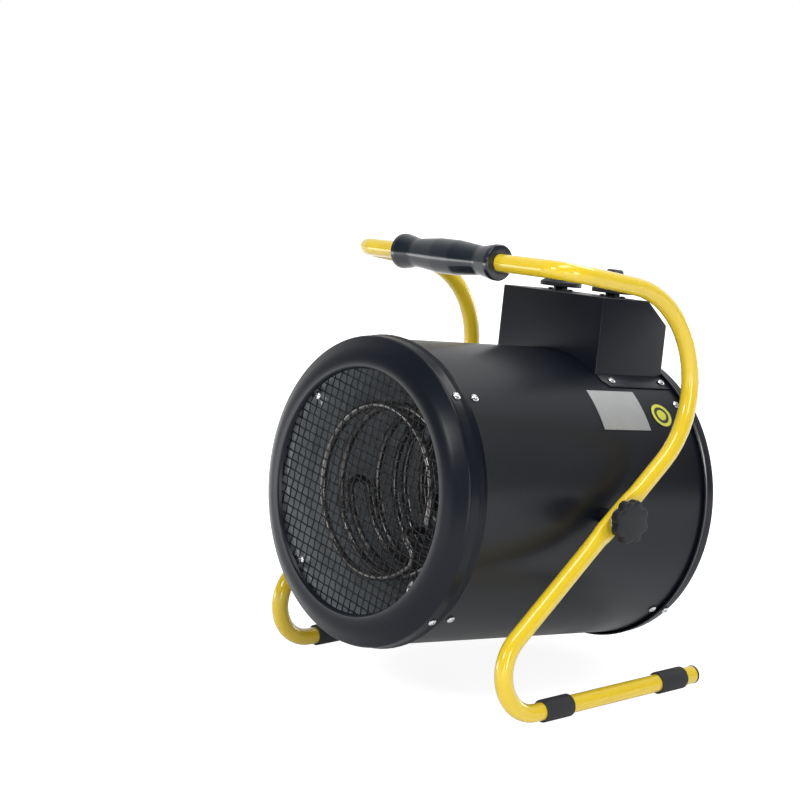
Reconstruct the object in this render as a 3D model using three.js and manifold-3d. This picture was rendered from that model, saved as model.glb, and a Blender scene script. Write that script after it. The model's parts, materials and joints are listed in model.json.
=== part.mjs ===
// Portable forced-air drum heater on a tilting tube stand.
//
// Millimetres, +Z up. The air leaves along -Y. The stand rests on the floor and carries the drum on
// two clamp knobs, so the drum tilts about a cross axis through its middle. Everything is drawn
// about that axis first, and the whole heater is then set down with its origin on the floor.
import * as THREE from 'three';
import { mergeGeometries, mergeVertices } from 'three/addons/utils/BufferGeometryUtils.js';
import Module from 'manifold-3d';

const wasm = await Module();
wasm.setup();

// ---------------------------------------------------------------- driving dimensions
const rad = THREE.MathUtils.degToRad;
const seat = 0.3;                 // air left between two pieces that touch
const drumFacets = 36;            // flats round the drum and everything that nests in it

// Drum, along its own axis: y is 0 at the tilt axis and negative towards the outlet
const outletTilt = 6.5;           // degrees the outlet points up as the heater stands
const drumRadius = 157;
const drumSheet = 1;
const bezelEdge = -190;           // where the bezel's rounded face leaves its flange
const rearEdge = 167;             // back face of the drum
const casingInset = 5;            // the casing ends this far short of the bezel edge and the back face

// Bezel: flange over the casing, rounded nose, turned-in lip round the outlet
const bezelSheet = 1.8;
const bezelFlange = 17;
const bezelFlare = 1.8;
const bezelNose = 13;             // radius of the rounded outer corner
const bezelNoseTurn = 80;
const bezelCrown = 1.6;           // the face stands this proud of the rounded corner
const bezelFace = 32;             // width of the face, from the drum's surface to the outlet
const outletRadius = drumRadius - bezelFace;
const outletLip = 9;

// Outlet guard, a flat wire net behind the bezel
const guardLap = 14;              // the net reaches this far behind the bezel's face
const guardRadius = outletRadius + guardLap;
const guardPitch = 18.2;
const guardWire = 2.4;
const guardThickness = 1.6;
const guardTwist = 11;            // degrees the wires lean

// Inner duct: galvanised liner round the heating elements
const ductClearance = 28;         // from the liner's bore out to the drum's surface
const ductRadius = drumRadius - ductClearance;
const ductSheet = 0.8;
const ductRear = 6;
const cutoutPlace = -60;
const cutoutEarWidth = 32;
const ductRim = 36;               // cylindrical rim that the casing screws go into
const ductTab = [16, 22];         // width and reach of the tabs behind the outlet guard
const ductTabAngle = 35;          // first of four

// Heating elements: three sheathed tubes, each folded in two and wound with both ends led to the back
const elementTube = 4;            // radius of the sheathed tube
const coilClearance = 41;         // from the middle of the coiled tube out to the liner
const coilRadius = ductRadius - coilClearance;
const coilFoldWidth = 24.5;       // the two runs of an element lie this far apart
const coilFoldAngles = [350, 172, 110];
const coilFoldPlaces = [-178, -133, -65];
const coilPitches = [12, 37, 37];
const coilEndAngles = [[678, 702], [726, 750], [270, 294]];
const legRadius = 52;
const legBend = 12;
const coilSteps = 17;             // stations in one turn
const terminalReach = 13;         // the tube ends stand this far behind their bracket

// Element bracket: a disc on three arms inside the duct
const elementPlate = 2;
const elementPlateRadius = 66;
const elementPlateBore = 18;
const elementPlateFace = -8;
const armWidth = 22;
const armLap = 26;                // each arm lies this far over the disc
const armFlange = 13;

// Fan and motor
const fanClearance = 18;          // from the blade tips to the casing
const fanRadius = drumRadius - drumSheet - fanClearance;
const fanFace = 28;
const hubRadius = 25;
const hubLength = 26;
const bladeCount = 5;
const bladeSheet = 2;
const bladeRootChord = 36;
const bladeTipChord = 78;
const bladeRootPitch = 46;
const bladeTipPitch = 24;
const shaftRadius = 4;
const motorRadius = 44;
const motorFront = 68;
const motorLength = 56;
const motorEar = 12;

// Motor bracket: two crossed straps with flanges on the casing
const strapSheet = 2;
const strapWidth = 26;
const strapFlange = 24;

// Back ring and back guard
const rearRingSheet = 1.8;
const rearRingFlange = 16;
const rearLip = 11;               // width of the ring's back face
const rearOpening = drumRadius - rearLip;
const rearGuardPitch = 36;

// Screws
const screwHead = 4.3;
const screwShank = 1.9;
const screwRise = 2.6;
const screwReach = 6;
const screwAngle = 45;            // first of four, from the side of the drum
const bezelScrewInset = 8;        // from the back edge of the bezel's flange
const rearScrewPlace = 141;

// Control box
const boxWidth = 154.6;
const boxFront = 47.5;
const boxRear = 150;
const boxRise = 62;               // the box stands this far above the top of the drum
const boxTop = drumRadius + boxRise;
const boxSlope = [32, 25];        // run and drop of the sloping back corner
const boxSheet = 1;
const boxFlange = 17;             // width of the side flanges, along the drum's surface
const boxFlangeNotch = 8;         // front corner cut off each flange
const boxScrews = [62, 139];

// Controls on the box
const knobSpread = 80;
const knobPlace = 99;
const knobSkirt = 23;
const knobSkirtHeight = 8;
const knobGrip = [30, 12, 17];    // finger bar: length, thickness, height
const knobTurns = [0, -30];       // how far each control is turned from across the box
const knobLift = 4.2;             // air under the skirt
const spindleRadius = 3;
const bushingRadius = 5;
const nutAcross = 14;
const nutHeight = 2.4;
const switchBody = [40, 36, 34];
const thermostatBody = [42, 34, 20];
const capillaryBulb = [3, 34];    // radius and length of the sensing bulb
const terminalBlock = [62, 22, 18];
const terminalWays = 5;
const terminalPlace = [-30, 30];  // across the box, and back from its front
const glandHex = 24;
const glandThread = 9;
const glandInset = [30, 26];      // from the side of the box, and above the top of the drum

// Tilt axis hardware
const bossRadius = 8;
const bossLength = 12.2;
const studRadius = 4;
const studClearance = 0.5;
const studInside = 12;            // the stud's thread beyond the casing
const pivotNut = [18, 6];         // across flats, height
const washerRadius = 13;
const washerSheet = 1.5;
const knobRadius = 22;
const knobLobes = 8;
const knobThickness = 11.5;
const knobCollar = [11, 7.5];     // radius and height of the collar under the star
const knobLobeDepth = 3.2;
const studGrip = 12;              // the stud's length inside the knob

// Stand: one bent tube, drawn in the side view (y, z) about the tilt axis
const tubeRadius = 9.3;
const tubeWall = 1.5;
const tubeSides = 10;
const bendStep = 29;              // degrees turned at each station of a bend
const footDrop = 25;              // from the bottom of the drum down to the foot tube's centre
const footAxis = -(drumRadius + footDrop);
const footSetback = 41.5;         // the foot reaches this much less than the drum's radius
const footRear = drumRadius - footSetback;
const legAngle = 36.9;
const frontBend = 43;
const rearBend = 103;
const armSlope = 11.8;
const handleRise = 97.8;          // from the top of the drum up to the handle bar
const handlePlace = [-68.6, drumRadius + handleRise];
const handleBend = 32;
const flatThickness = 9;          // tube squeezed flat where the clamp knob holds it
const flatHalf = 17;
const flatTaper = 22;
const flatSpread = 1.2;
const sideLean = 0.045;           // the sides close in this much for each mm of height

// Grip and feet
const gripLength = 152;
const gripPlace = -10;            // its middle, along the bar
const gripEnd = 18.7;
const gripEndRound = 4;
const gripWaist = 15;
const gripWaistInset = 27;        // from each end
const gripSwell = 18.4;
const gripSwellHalf = 22;
const sleeveRadius = 12;
const sleeveLength = 38;
const sleeveInset = [26.5, 35.5]; // from the front and back of the straight foot to the middle of a sleeve
const sleeveSides = 12;
const sleeveFit = 0.1;
const plugLip = 3;
const plugStem = 12;
const plugFit = 0.4;

// ---------------------------------------------------------------- finishes
const finish = (color, roughness, metalness) => new THREE.MeshStandardMaterial({
  color, roughness, metalness,
});
const blackPaint = finish(0x2a2d31, 0.45, 0.25);
const yellowPaint = finish(0xe6c92f, 0.3, 0.1);
const blackPlastic = finish(0x1c1d1f, 0.5, 0);
const glossPlastic = finish(0x1f2226, 0.22, 0);
const galvanised = finish(0xb4b8ba, 0.4, 0.8);
const elementSteel = finish(0x4a4a4a, 0.45, 0.7);
const zinc = finish(0xd4d6d8, 0.25, 0.9);
const blackSteel = finish(0x26272a, 0.45, 0.6);
const wireBlack = finish(0x303336, 0.5, 0.4);
const fanAlloy = finish(0xa9adb0, 0.4, 0.8);
const motorGrey = finish(0x3b3e42, 0.5, 0.4);
const ivoryPlastic = finish(0xd8d4c6, 0.5, 0);

// ---------------------------------------------------------------- solids
const polar = (radius, degrees) => [radius * Math.cos(rad(degrees)), radius * Math.sin(rad(degrees))];

/** A closed mesh with merged corners whose faces point outwards. */
function closed(geometry) {
  const bare = geometry.index ? geometry.clone() : geometry;
  bare.deleteAttribute('normal');
  bare.deleteAttribute('uv');
  const merged = mergeVertices(bare, 1e-4);
  const place = merged.attributes.position;
  const corners = [];
  for (let i = 0; i < merged.index.count; i += 3) {
    const face = [0, 1, 2].map((k) => merged.index.getX(i + k));
    if (face[0] !== face[1] && face[1] !== face[2] && face[2] !== face[0]) corners.push(...face);
  }
  const [a, b, c] = [new THREE.Vector3(), new THREE.Vector3(), new THREE.Vector3()];
  let volume = 0;
  for (let i = 0; i < corners.length; i += 3) {
    a.fromBufferAttribute(place, corners[i]);
    b.fromBufferAttribute(place, corners[i + 1]);
    c.fromBufferAttribute(place, corners[i + 2]);
    volume += a.dot(b.cross(c));
  }
  merged.setIndex(volume < 0 ? corners.reverse() : corners);
  return merged;
}

const toSolid = (geometry) => {
  const mesh = closed(geometry);
  return new wasm.Manifold(new wasm.Mesh({
    numProp: 3,
    vertProperties: new Float32Array(mesh.attributes.position.array),
    triVerts: new Uint32Array(mesh.index.array),
  }));
};

const toGeometry = (solid) => {
  const { vertProperties, triVerts } = solid.getMesh();
  const geometry = new THREE.BufferGeometry();
  geometry.setAttribute('position', new THREE.BufferAttribute(vertProperties, 3));
  geometry.setIndex(new THREE.BufferAttribute(triVerts, 1));
  return geometry;
};

/** Several separate solids kept as one mesh. */
const group = (pieces) => mergeGeometries(pieces.map(closed));

const join = (...pieces) => toGeometry(pieces.map(toSolid).reduce((sum, next) => sum.add(next)));
const cut = (piece, ...tools) => toGeometry(tools.map(toSolid)
  .reduce((rest, tool) => rest.subtract(tool), toSolid(piece)));
const overlap = (piece, tool) => toGeometry(toSolid(piece).intersect(toSolid(tool)));

const box = (size, centre) => new THREE.BoxGeometry(...size).translate(...centre);
const points = (list) => list.map(([x, y]) => new THREE.Vector2(x, y));

/** Turns a closed (radius, y) outline about the Y axis. */
const turn = (outline, facets = 16, start = 0) => new THREE.LatheGeometry(points(outline), facets, start);

/** A plain ring or disc along Y between two places. */
const ring = (inner, outer, from, to, facets = 16, start = 0) => turn(
  inner > 0 ? [[inner, from], [outer, from], [outer, to], [inner, to], [inner, from]]
    : [[0, from], [outer, from], [outer, to], [0, to]], facets, start);

const alongX = (geometry) => geometry.rotateZ(-Math.PI / 2);
const alongZ = (geometry) => geometry.rotateX(Math.PI / 2);

/** Points of a circular arc in degrees, both ends included. */
const arc = (centre, radius, from, to, steps) => Array.from({ length: steps + 1 }, (_, i) => {
  const [x, y] = polar(radius, from + (to - from) * i / steps);
  return [centre[0] + x, centre[1] + y];
});

/** Thickens an open line into the closed outline of bent sheet, lying to the left of its direction. */
function sheetOutline(line, thickness) {
  const at = line.map((p) => new THREE.Vector2(...p));
  const normals = at.slice(1).map((p, i) => {
    const d = p.clone().sub(at[i]).normalize();
    return new THREE.Vector2(-d.y, d.x);
  });
  const offset = at.map((p, i) => {
    const before = normals[Math.max(i - 1, 0)];
    const after = normals[Math.min(i, normals.length - 1)];
    const mid = before.clone().add(after).normalize();
    return p.clone().add(mid.multiplyScalar(thickness / mid.dot(after)));
  });
  const outline = [...line, ...offset.reverse().map((p) => [p.x, p.y])];
  return [...outline, outline[0]];
}

/** Joins rings of points, each with the same count, into one closed skin. */
function skin(rings, endless = false) {
  const sides = rings[0].length;
  const places = rings.flat();
  const faces = [];
  const last = endless ? rings.length : rings.length - 1;
  for (let i = 0; i < last; i++) {
    const next = (i + 1) % rings.length;
    for (let k = 0; k < sides; k++) {
      const k2 = (k + 1) % sides;
      const [a, b, c, d] = [i * sides + k, i * sides + k2, next * sides + k2, next * sides + k];
      faces.push(a, b, c, a, c, d);
    }
  }
  if (!endless) {
    const end = (rings.length - 1) * sides;
    for (let k = 1; k < sides - 1; k++) {
      faces.push(0, k + 1, k);
      faces.push(end, end + k, end + k + 1);
    }
  }
  const geometry = new THREE.BufferGeometry();
  const numbers = places.flatMap((p) => p.toArray());
  geometry.setAttribute('position', new THREE.Float32BufferAttribute(numbers, 3));
  geometry.setIndex(faces);
  return closed(geometry);
}

/** Rounds the inner corners of a line of points. A radius of 0 keeps the corner. */
function rounded(corners, radii, step = bendStep) {
  const path = [corners[0].clone()];
  for (let i = 1; i < corners.length - 1; i++) {
    const corner = corners[i];
    const radius = radii[i - 1];
    const back = corners[i - 1].clone().sub(corner).normalize();
    const ahead = corners[i + 1].clone().sub(corner).normalize();
    const half = back.angleTo(ahead) / 2;
    if (!radius) {
      path.push(corner.clone());
      continue;
    }
    const start = corner.clone().addScaledVector(back, radius / Math.tan(half));
    const middle = back.clone().add(ahead).normalize();
    const centre = corner.clone().addScaledVector(middle, radius / Math.sin(half));
    const spoke = start.clone().sub(centre);
    const axis = new THREE.Vector3().crossVectors(back, ahead).negate().normalize();
    const swing = Math.PI - 2 * half;
    const steps = Math.max(2, Math.ceil(swing / rad(step)));
    for (let s = 0; s <= steps; s++) {
      path.push(centre.clone().add(spoke.clone().applyAxisAngle(axis, swing * s / steps)));
    }
  }
  path.push(corners[corners.length - 1].clone());
  return path;
}

/** Direction of a path at each of its points. */
const tangents = (path) => path.map((p, i) => path[Math.min(i + 1, path.length - 1)].clone()
  .sub(path[Math.max(i - 1, 0)]).normalize());

/** A round bar along a path of points. */
function bar(path, radius, sides) {
  const along = tangents(path);
  let across = new THREE.Vector3(along[0].y, along[0].z, along[0].x).cross(along[0]).normalize();
  const rings = path.map((p, i) => {
    const up = new THREE.Vector3().crossVectors(along[i], across).normalize();
    across = up.clone().cross(along[i]);
    return Array.from({ length: sides }, (_, k) => {
      const [u, v] = polar(radius, 360 * k / sides);
      return p.clone().addScaledVector(across, u).addScaledVector(up, v);
    });
  });
  return skin(rings);
}

// ---------------------------------------------------------------- assembly
const standPieces = new THREE.Group();
const drumPieces = new THREE.Group();
drumPieces.rotation.x = -rad(outletTilt);

function add(group, name, geometry, material) {
  const mesh = new THREE.Mesh(closed(geometry), material);
  mesh.name = name;
  group.add(mesh);
  return mesh;
}

const sides = [['right', 1], ['left', -1]];
const fourAngles = (first) => [0, 90, 180, 270].map((turned) => first + turned);

// ---------------------------------------------------------------- screws
/** A pan-head screw standing on y = 0 with its shank below. */
const screw = (reach = screwReach) => turn([
  [0, -reach], [screwShank, -reach], [screwShank, seat], [screwHead, seat],
  [screwHead * 0.7, screwRise], [0, screwRise],
], 6);

const drill = (depth) => ring(0, screwShank + seat, -depth, depth, 6);

/** Stands a piece drawn along +Y on the drum's surface, pointing outwards. */
function onDrum(geometry, radius, degrees, y) {
  const [x, z] = polar(radius, degrees);
  return geometry.rotateX(Math.PI / 2).rotateY(Math.PI / 2 - rad(degrees)).translate(x, y, z);
}

const bezelFlangeEnd = bezelEdge + bezelFlange;
const bezelScrewPlace = bezelFlangeEnd - bezelScrewInset;
const holesAt = (radius, y, angles) => angles.map((a) => onDrum(drill(8), radius, a, y));
const casingAngles = fourAngles(screwAngle);

// ---------------------------------------------------------------- drum shells
const casingBore = drumRadius - drumSheet;
const casingFrontEnd = bezelEdge + casingInset;
const casingRearEnd = rearEdge - casingInset;
const studHole = studRadius + studClearance;
const pivotHole = () => alongX(ring(0, studHole, -drumRadius * 1.2, drumRadius * 1.2, 16));

function casingShell() {
  const shell = ring(casingBore, drumRadius, casingFrontEnd, casingRearEnd, drumFacets);
  return cut(shell, pivotHole(),
    ...holesAt(drumRadius, bezelScrewPlace, casingAngles),
    ...holesAt(drumRadius, rearScrewPlace, casingAngles),
    ...boxScrewPlaces.flatMap(([a, y]) => holesAt(drumRadius, y, [a])));
}

function frontBezel() {
  const inner = drumRadius + seat;
  const face = bezelEdge - bezelNose + bezelSheet;
  const line = [
    [inner + bezelFlare, bezelFlangeEnd],
    [inner, bezelFlangeEnd - 3.5],
    ...arc([inner - bezelNose + bezelSheet, bezelEdge], bezelNose - bezelSheet, 0, -bezelNoseTurn, 3),
    [outletRadius + 5, face - bezelCrown],
    [outletRadius + 1, face],
    [outletRadius, face + outletLip],
  ];
  const shell = turn(sheetOutline(line, bezelSheet), drumFacets);
  return cut(shell, ...holesAt(drumRadius, bezelScrewPlace, casingAngles));
}

function innerDuct() {
  const rim = casingBore - seat;
  const face = guardSeat + seat;
  const line = [[rim, face + ductRim], [rim, face], [ductRadius, face], [ductRadius, ductRear]];
  const liner = turn(sheetOutline(line, -ductSheet), drumFacets);
  const tabs = fourAngles(ductTabAngle).map((a) => box([ductTab[1], ductSheet, ductTab[0]],
    [ductRadius - ductTab[1] / 2 + 1, face + ductSheet / 2, 0]).rotateY(-rad(a)));
  return cut(join(liner, ...tabs), ...holesAt(drumRadius, bezelScrewPlace, casingAngles));
}

function rearRing() {
  const inner = drumRadius + seat;
  const line = [
    [inner + bezelFlare, rearEdge - rearRingFlange],
    [inner, rearEdge - rearRingFlange + 3.5],
    ...arc([inner - 3, rearEdge - rearRingSheet - 3], 3, 0, 90, 2),
    [rearOpening, rearEdge - rearRingSheet],
  ];
  return turn(sheetOutline(line, -rearRingSheet), drumFacets);
}

// ---------------------------------------------------------------- guards
const guardSeat = casingFrontEnd;  // back face of the outlet guard

/** A flat square net with a plain rim: a disc with a grid of square gaps, lying on y = 0. */
function net({ radius, rim, pitch, wire, thickness }) {
  const reach = Math.floor(radius / pitch);
  const gap = pitch - wire;
  const gaps = [];
  for (let i = -reach; i <= reach; i++) {
    for (let j = -reach; j <= reach; j++) {
      const [x, z] = [(i + 0.5) * pitch, (j + 0.5) * pitch];
      const inRim = Math.hypot(Math.abs(x) + gap / 2, Math.abs(z) + gap / 2) > radius - rim;
      if (!inRim) gaps.push(box([gap, 3 * thickness, gap], [x, 0, z]));
    }
  }
  return cut(ring(0, radius, -thickness, 0, drumFacets), group(gaps));
}

function frontMesh() {
  const guard = net({
    radius: guardRadius, rim: 5, pitch: guardPitch, wire: guardWire, thickness: guardThickness,
  });
  return guard.rotateY(rad(guardTwist)).translate(0, guardSeat, 0);
}

function rearMesh() {
  const guard = net({
    radius: casingBore - seat, rim: casingBore - rearOpening, pitch: rearGuardPitch, wire: guardWire,
    thickness: guardThickness,
  });
  return guard.translate(0, casingRearEnd, 0);
}

// ---------------------------------------------------------------- heating elements
/** Path of one element: leg, hook, coil towards the front, fold, coil back, hook, leg. */
function elementPath(index) {
  const [fold, start, pitch] = [coilFoldAngles[index], coilFoldPlaces[index], coilPitches[index]];
  const terminal = elementPlateFace + elementPlate + terminalReach;
  const at = (radius, degrees, y) => {
    const [x, z] = polar(radius, degrees);
    return new THREE.Vector3(x, y, z);
  };
  const [near, far] = coilEndAngles[index].map((end, i) => {
    const place = (degrees) => start + coilFoldWidth * i + pitch * (degrees - fold) / 360;
    const steps = Math.round((end - fold) * coilSteps / 360);
    const run = Array.from({ length: steps }, (_, k) => end + (fold - end) * (k + 1) / steps)
      .map((degrees) => at(coilRadius, degrees, place(degrees)));
    const y = place(end);
    return { hook: [at(legRadius, end, terminal), at(legRadius, end, y), at(coilRadius, end, y)], run };
  });
  const half = coilFoldWidth / 2;
  const bow = [45, 90, 135].map((t) => {
    const [rise, reach] = polar(half, t);
    return at(coilRadius, fold - THREE.MathUtils.radToDeg(reach / coilRadius), start + half - rise);
  });
  const coil = [...near.run, ...bow, ...far.run.reverse()];
  return rounded([...near.hook, ...coil, ...far.hook.reverse()],
    [legBend, legBend, ...coil.map(() => 0), legBend, legBend], 30);
}

/** Smallest clear gap between stretches of a tube that aren't neighbours along it. */
function leastGap(path, radius) {
  const far = 6 * radius;
  const run = [0];
  for (let i = 1; i < path.length; i++) run.push(run[i - 1] + path[i].distanceTo(path[i - 1]));
  let least = Infinity;
  for (let i = 0; i < path.length; i++) {
    for (let j = i + 1; j < path.length; j++) {
      if (run[j] - run[i] > far) least = Math.min(least, path[i].distanceTo(path[j]));
    }
  }
  return least - 2 * radius;
}

function elementBracket() {
  const face = elementPlateFace;
  const reach = ductRadius - seat;
  const disc = ring(elementPlateBore, elementPlateRadius, face, face + elementPlate, 24);
  const limit = ring(0, reach, face - 1, face + armFlange, drumFacets);
  const inside = elementPlateRadius - armLap;
  const arms = [90, 210, 330].map((a) => join(
    box([reach - inside, elementPlate, armWidth], [(reach + inside) / 2, face + elementPlate / 2, 0]),
    box([elementPlate, armFlange, armWidth], [reach - 1.5, face + armFlange / 2, 0]),
  ).rotateY(-rad(a)));
  const legs = coilEndAngles.flat().map((a) => {
    const [x, z] = polar(legRadius, a);
    return ring(0, elementTube + seat, face - 2, face + elementPlate + 2, 8).translate(x, 0, z);
  });
  return cut(overlap(join(disc, ...arms), limit), ...legs);
}

function thermalCutout() {
  const base = ductRadius + ductSheet + seat;
  const body = turn([[0, 0], [9, 0], [9, 5], [7, 5], [7, 11], [0, 11]], 12);
  const lugs = [-1, 1].map((s) => box([3, 9, 0.8], [s * 4, 14, 0]));
  const ears = box([cutoutEarWidth, 1, 9], [0, 0.5, 0]);
  return onDrum(join(body, ears, ...lugs), base, 90, cutoutPlace);
}

// ---------------------------------------------------------------- fan and motor
/** One cambered blade, set at a steeper pitch near the hub than at the tip. */
function blade(turned) {
  const stations = 5;
  const root = hubRadius - 4;
  const middle = fanFace + hubLength / 2;
  const rings = Array.from({ length: stations }, (_, i) => {
    const share = i / (stations - 1);
    const radius = root + (fanRadius - root) * share;
    const fade = 1 - 0.35 * Math.max(0, share - 0.8) / 0.2;
    const chord = (bladeRootChord + (bladeTipChord - bladeRootChord) * share) * fade;
    const pitch = rad(bladeRootPitch + (bladeTipPitch - bladeRootPitch) * share);
    const camber = chord * 0.09;
    const section = [[-0.5, 0], [-0.18, 1], [0.18, 1], [0.5, 0]];
    const upper = section.map(([c, h]) => [c * chord, h * camber + bladeSheet / 2]);
    const lower = section.map(([c, h]) => [c * chord, h * camber - bladeSheet / 2]).reverse();
    return [...upper, ...lower].map(([c, h]) => {
      const around = c * Math.cos(pitch) - h * Math.sin(pitch);
      const along = c * Math.sin(pitch) + h * Math.cos(pitch);
      const angle = around / radius * Math.min(1, radius / 40);
      return new THREE.Vector3(radius * Math.cos(angle), middle + along * 0.82, radius * Math.sin(angle));
    });
  });
  return skin(rings).rotateY(rad(turned));
}

function fanRotor() {
  const hub = turn([
    [0, fanFace + 5], [hubRadius - 9, fanFace], [hubRadius - 2, fanFace + 2], [hubRadius, fanFace + 6],
    [hubRadius, fanFace + hubLength], [0, fanFace + hubLength],
  ], 20);
  const blades = Array.from({ length: bladeCount }, (_, i) => blade(i * 360 / bladeCount));
  const socket = ring(0, shaftRadius + seat, fanFace + 10, fanFace + hubLength + 1, 16);
  return cut(join(hub, ...blades), socket);
}

const shaftEnd = motorFront + motorLength * 0.6;
const motorShaft = () => ring(0, shaftRadius, fanFace + 10 + seat, shaftEnd, 16);
const strapFace = motorFront + motorLength + seat;

function motorBody() {
  const back = motorFront + motorLength;
  const can = turn([
    [0, motorFront - 6], [11, motorFront - 6], [11, motorFront], [motorRadius - 6, motorFront],
    [motorRadius, motorFront + 6], [motorRadius, back - 14], [motorRadius - 8, back - 8],
    [motorRadius - 8, back], [0, back],
  ], 20);
  const ears = fourAngles(screwAngle).map((a) => box([motorEar, 10, 12],
    [motorRadius - 8 + motorEar / 2 - 2, back - 5, 0]).rotateY(-rad(a)));
  return cut(join(can, ...ears), ring(0, shaftRadius + seat, motorFront - 8, shaftEnd + seat, 16));
}

function motorBracket() {
  const reach = casingBore - seat;
  const limit = ring(0, reach, strapFace - 1, strapFace + strapFlange, drumFacets);
  const straps = fourAngles(screwAngle).map((a) => join(
    box([reach, strapSheet, strapWidth], [reach / 2, strapFace + strapSheet / 2, 0]),
    box([strapSheet + 2, strapFlange, strapWidth], [reach - 1, strapFace + strapFlange / 2, 0]),
  ).rotateY(-rad(a)));
  return cut(overlap(join(...straps), limit), ...holesAt(drumRadius, rearScrewPlace, casingAngles));
}

// ---------------------------------------------------------------- control box
const boxSeat = drumRadius + seat;
const boxHalf = boxWidth / 2;
const flangeMidAngle = THREE.MathUtils.radToDeg(Math.acos((boxHalf + boxFlange * 0.55) / boxSeat));
const boxScrewPlaces = boxScrews.flatMap((y) => [[flangeMidAngle, y], [180 - flangeMidAngle, y]]);
const slopeStart = boxRear - boxSlope[0];
const glandPlace = [boxHalf - glandInset[0], drumRadius + glandInset[1]];

/** Side view of the box, (y, z), as a prism across X. */
function boxPrism(inset, width, foot) {
  const outline = points([
    [boxFront + inset, foot], [boxRear - inset, foot], [boxRear - inset, boxTop - boxSlope[1] - inset * 0.7],
    [slopeStart - inset * 0.3, boxTop - inset], [boxFront + inset, boxTop - inset],
  ]);
  return new THREE.ExtrudeGeometry(new THREE.Shape(outline), { depth: width, bevelEnabled: false })
    .translate(0, 0, -width / 2).rotateY(Math.PI / 2).rotateX(Math.PI / 2);
}

const knobPlaces = [[knobSpread / -2, knobPlace], [knobSpread / 2, knobPlace]];

function controlBoxCover() {
  const foot = boxSeat * Math.sin(Math.acos(boxHalf / boxSeat));
  const walls = cut(boxPrism(0, boxWidth, foot * 0.9), boxPrism(boxSheet, boxWidth - 2 * boxSheet, 0),
    ring(0, boxSeat, boxFront - 1, boxRear + 1, drumFacets));
  const band = ring(boxSeat, boxSeat + boxSheet, boxFront, boxRear, drumFacets);
  const flanges = [-1, 1].map((s) => {
    const strip = new THREE.Shape(points([
      [boxFront, boxHalf - boxSheet], [boxFront, boxHalf + boxFlange * 0.45],
      [boxFront + boxFlangeNotch, boxHalf + boxFlange], [boxRear, boxHalf + boxFlange],
      [boxRear, boxHalf - boxSheet],
    ]));
    const prism = new THREE.ExtrudeGeometry(strip, { depth: drumRadius, bevelEnabled: false })
      .applyMatrix4(new THREE.Matrix4().set(0, s, 0, 0, 1, 0, 0, 0, 0, 0, 1, 0, 0, 0, 0, 1));
    return overlap(band, prism);
  });
  const bushingHole = () => alongZ(ring(0, bushingRadius + seat, -20, 20, 16));
  const holes = [
    ...boxScrewPlaces.flatMap(([a, y]) => holesAt(drumRadius, y, [a])),
    ...knobPlaces.map(([x, y]) => bushingHole().translate(x, y, boxTop)),
    ring(0, glandThread + seat, -6, 6, 16).translate(glandPlace[0], boxRear, glandPlace[1]),
  ];
  return cut(join(walls, ...flanges), ...holes);
}

/** Body of a rotary control under the box top, with its threaded bushing through the panel. */
function controlBody([width, depth, height], [x, y]) {
  const top = boxTop - boxSheet - seat;
  const block = box([width, depth, height], [0, 0, top - height / 2]);
  const bushing = alongZ(ring(0, bushingRadius, top - 1, boxTop + knobLift - 0.8, 16));
  const bore = alongZ(ring(0, spindleRadius + seat, top - 10, boxTop + knobLift, 12));
  return cut(join(block, bushing), bore).translate(x, y, 0);
}

function thermostatPiece(place) {
  const body = controlBody(thermostatBody, place);
  const low = boxTop - boxSheet - seat - thermostatBody[2];
  const [bulbRadius, bulbLength] = capillaryBulb;
  const route = [
    new THREE.Vector3(place[0], place[1] + 8, low + 2), new THREE.Vector3(place[0], place[1] + 8, low - 14),
    new THREE.Vector3(place[0] - 22, place[1] + 8, low - 14),
  ];
  const tube = bar(rounded(route, [6]), 1, 6);
  const bulb = alongX(ring(0, bulbRadius, -bulbLength, 0, 10))
    .translate(place[0] - 20, place[1] + 8, low - 14);
  return join(body, tube, bulb);
}

const spindle = ([x, y]) => alongZ(ring(0, spindleRadius, boxTop - boxSheet - seat - 9.5,
  boxTop + knobLift + knobSkirtHeight + 8, 12)).translate(x, y, 0);

/** Hex nut that holds a control's bushing to the box top. */
function panelNut([x, y]) {
  const corner = nutAcross / 2 / Math.cos(rad(30));
  const blank = alongZ(ring(0, corner, boxTop + seat, boxTop + seat + nutHeight, 6));
  const bore = alongZ(ring(0, bushingRadius + seat, boxTop - 2, boxTop + nutHeight + 2, 16));
  return cut(blank, bore).translate(x, y, 0);
}

/** Pointer knob: round skirt, coned top and a raised finger bar. */
function pointerKnob([x, y], turned) {
  const base = boxTop + knobLift;
  const [length, thickness, height] = knobGrip;
  const skirt = alongZ(turn([
    [0, 0], [knobSkirt, 0], [knobSkirt, knobSkirtHeight * 0.55], [knobSkirt - 6, knobSkirtHeight],
    [0, knobSkirtHeight + 1.5],
  ], 20));
  const profile = new THREE.Shape()
    .moveTo(-length / 2, 0).lineTo(length / 2, 0).lineTo(length / 2, height - 7);
  arc([length / 2 - 6, height - 6], 6, 0, 90, 3).forEach(([u, v]) => profile.lineTo(u, v));
  arc([-length / 2 + 6, height - 6], 6, 90, 180, 3).forEach(([u, v]) => profile.lineTo(u, v));
  const grip = new THREE.ExtrudeGeometry(profile, { depth: thickness, bevelEnabled: false })
    .translate(0, 0, -thickness / 2).rotateX(Math.PI / 2).translate(0, 0, knobSkirtHeight + 0.6);
  const socket = alongZ(ring(0, spindleRadius + seat, -1, knobSkirtHeight + 8 + seat, 12));
  const recess = alongZ(ring(0, bushingRadius + 1.5, -1, 1.5, 16));
  return cut(join(skirt, grip), socket, recess).rotateZ(rad(turned)).translate(x, y, base);
}

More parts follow.
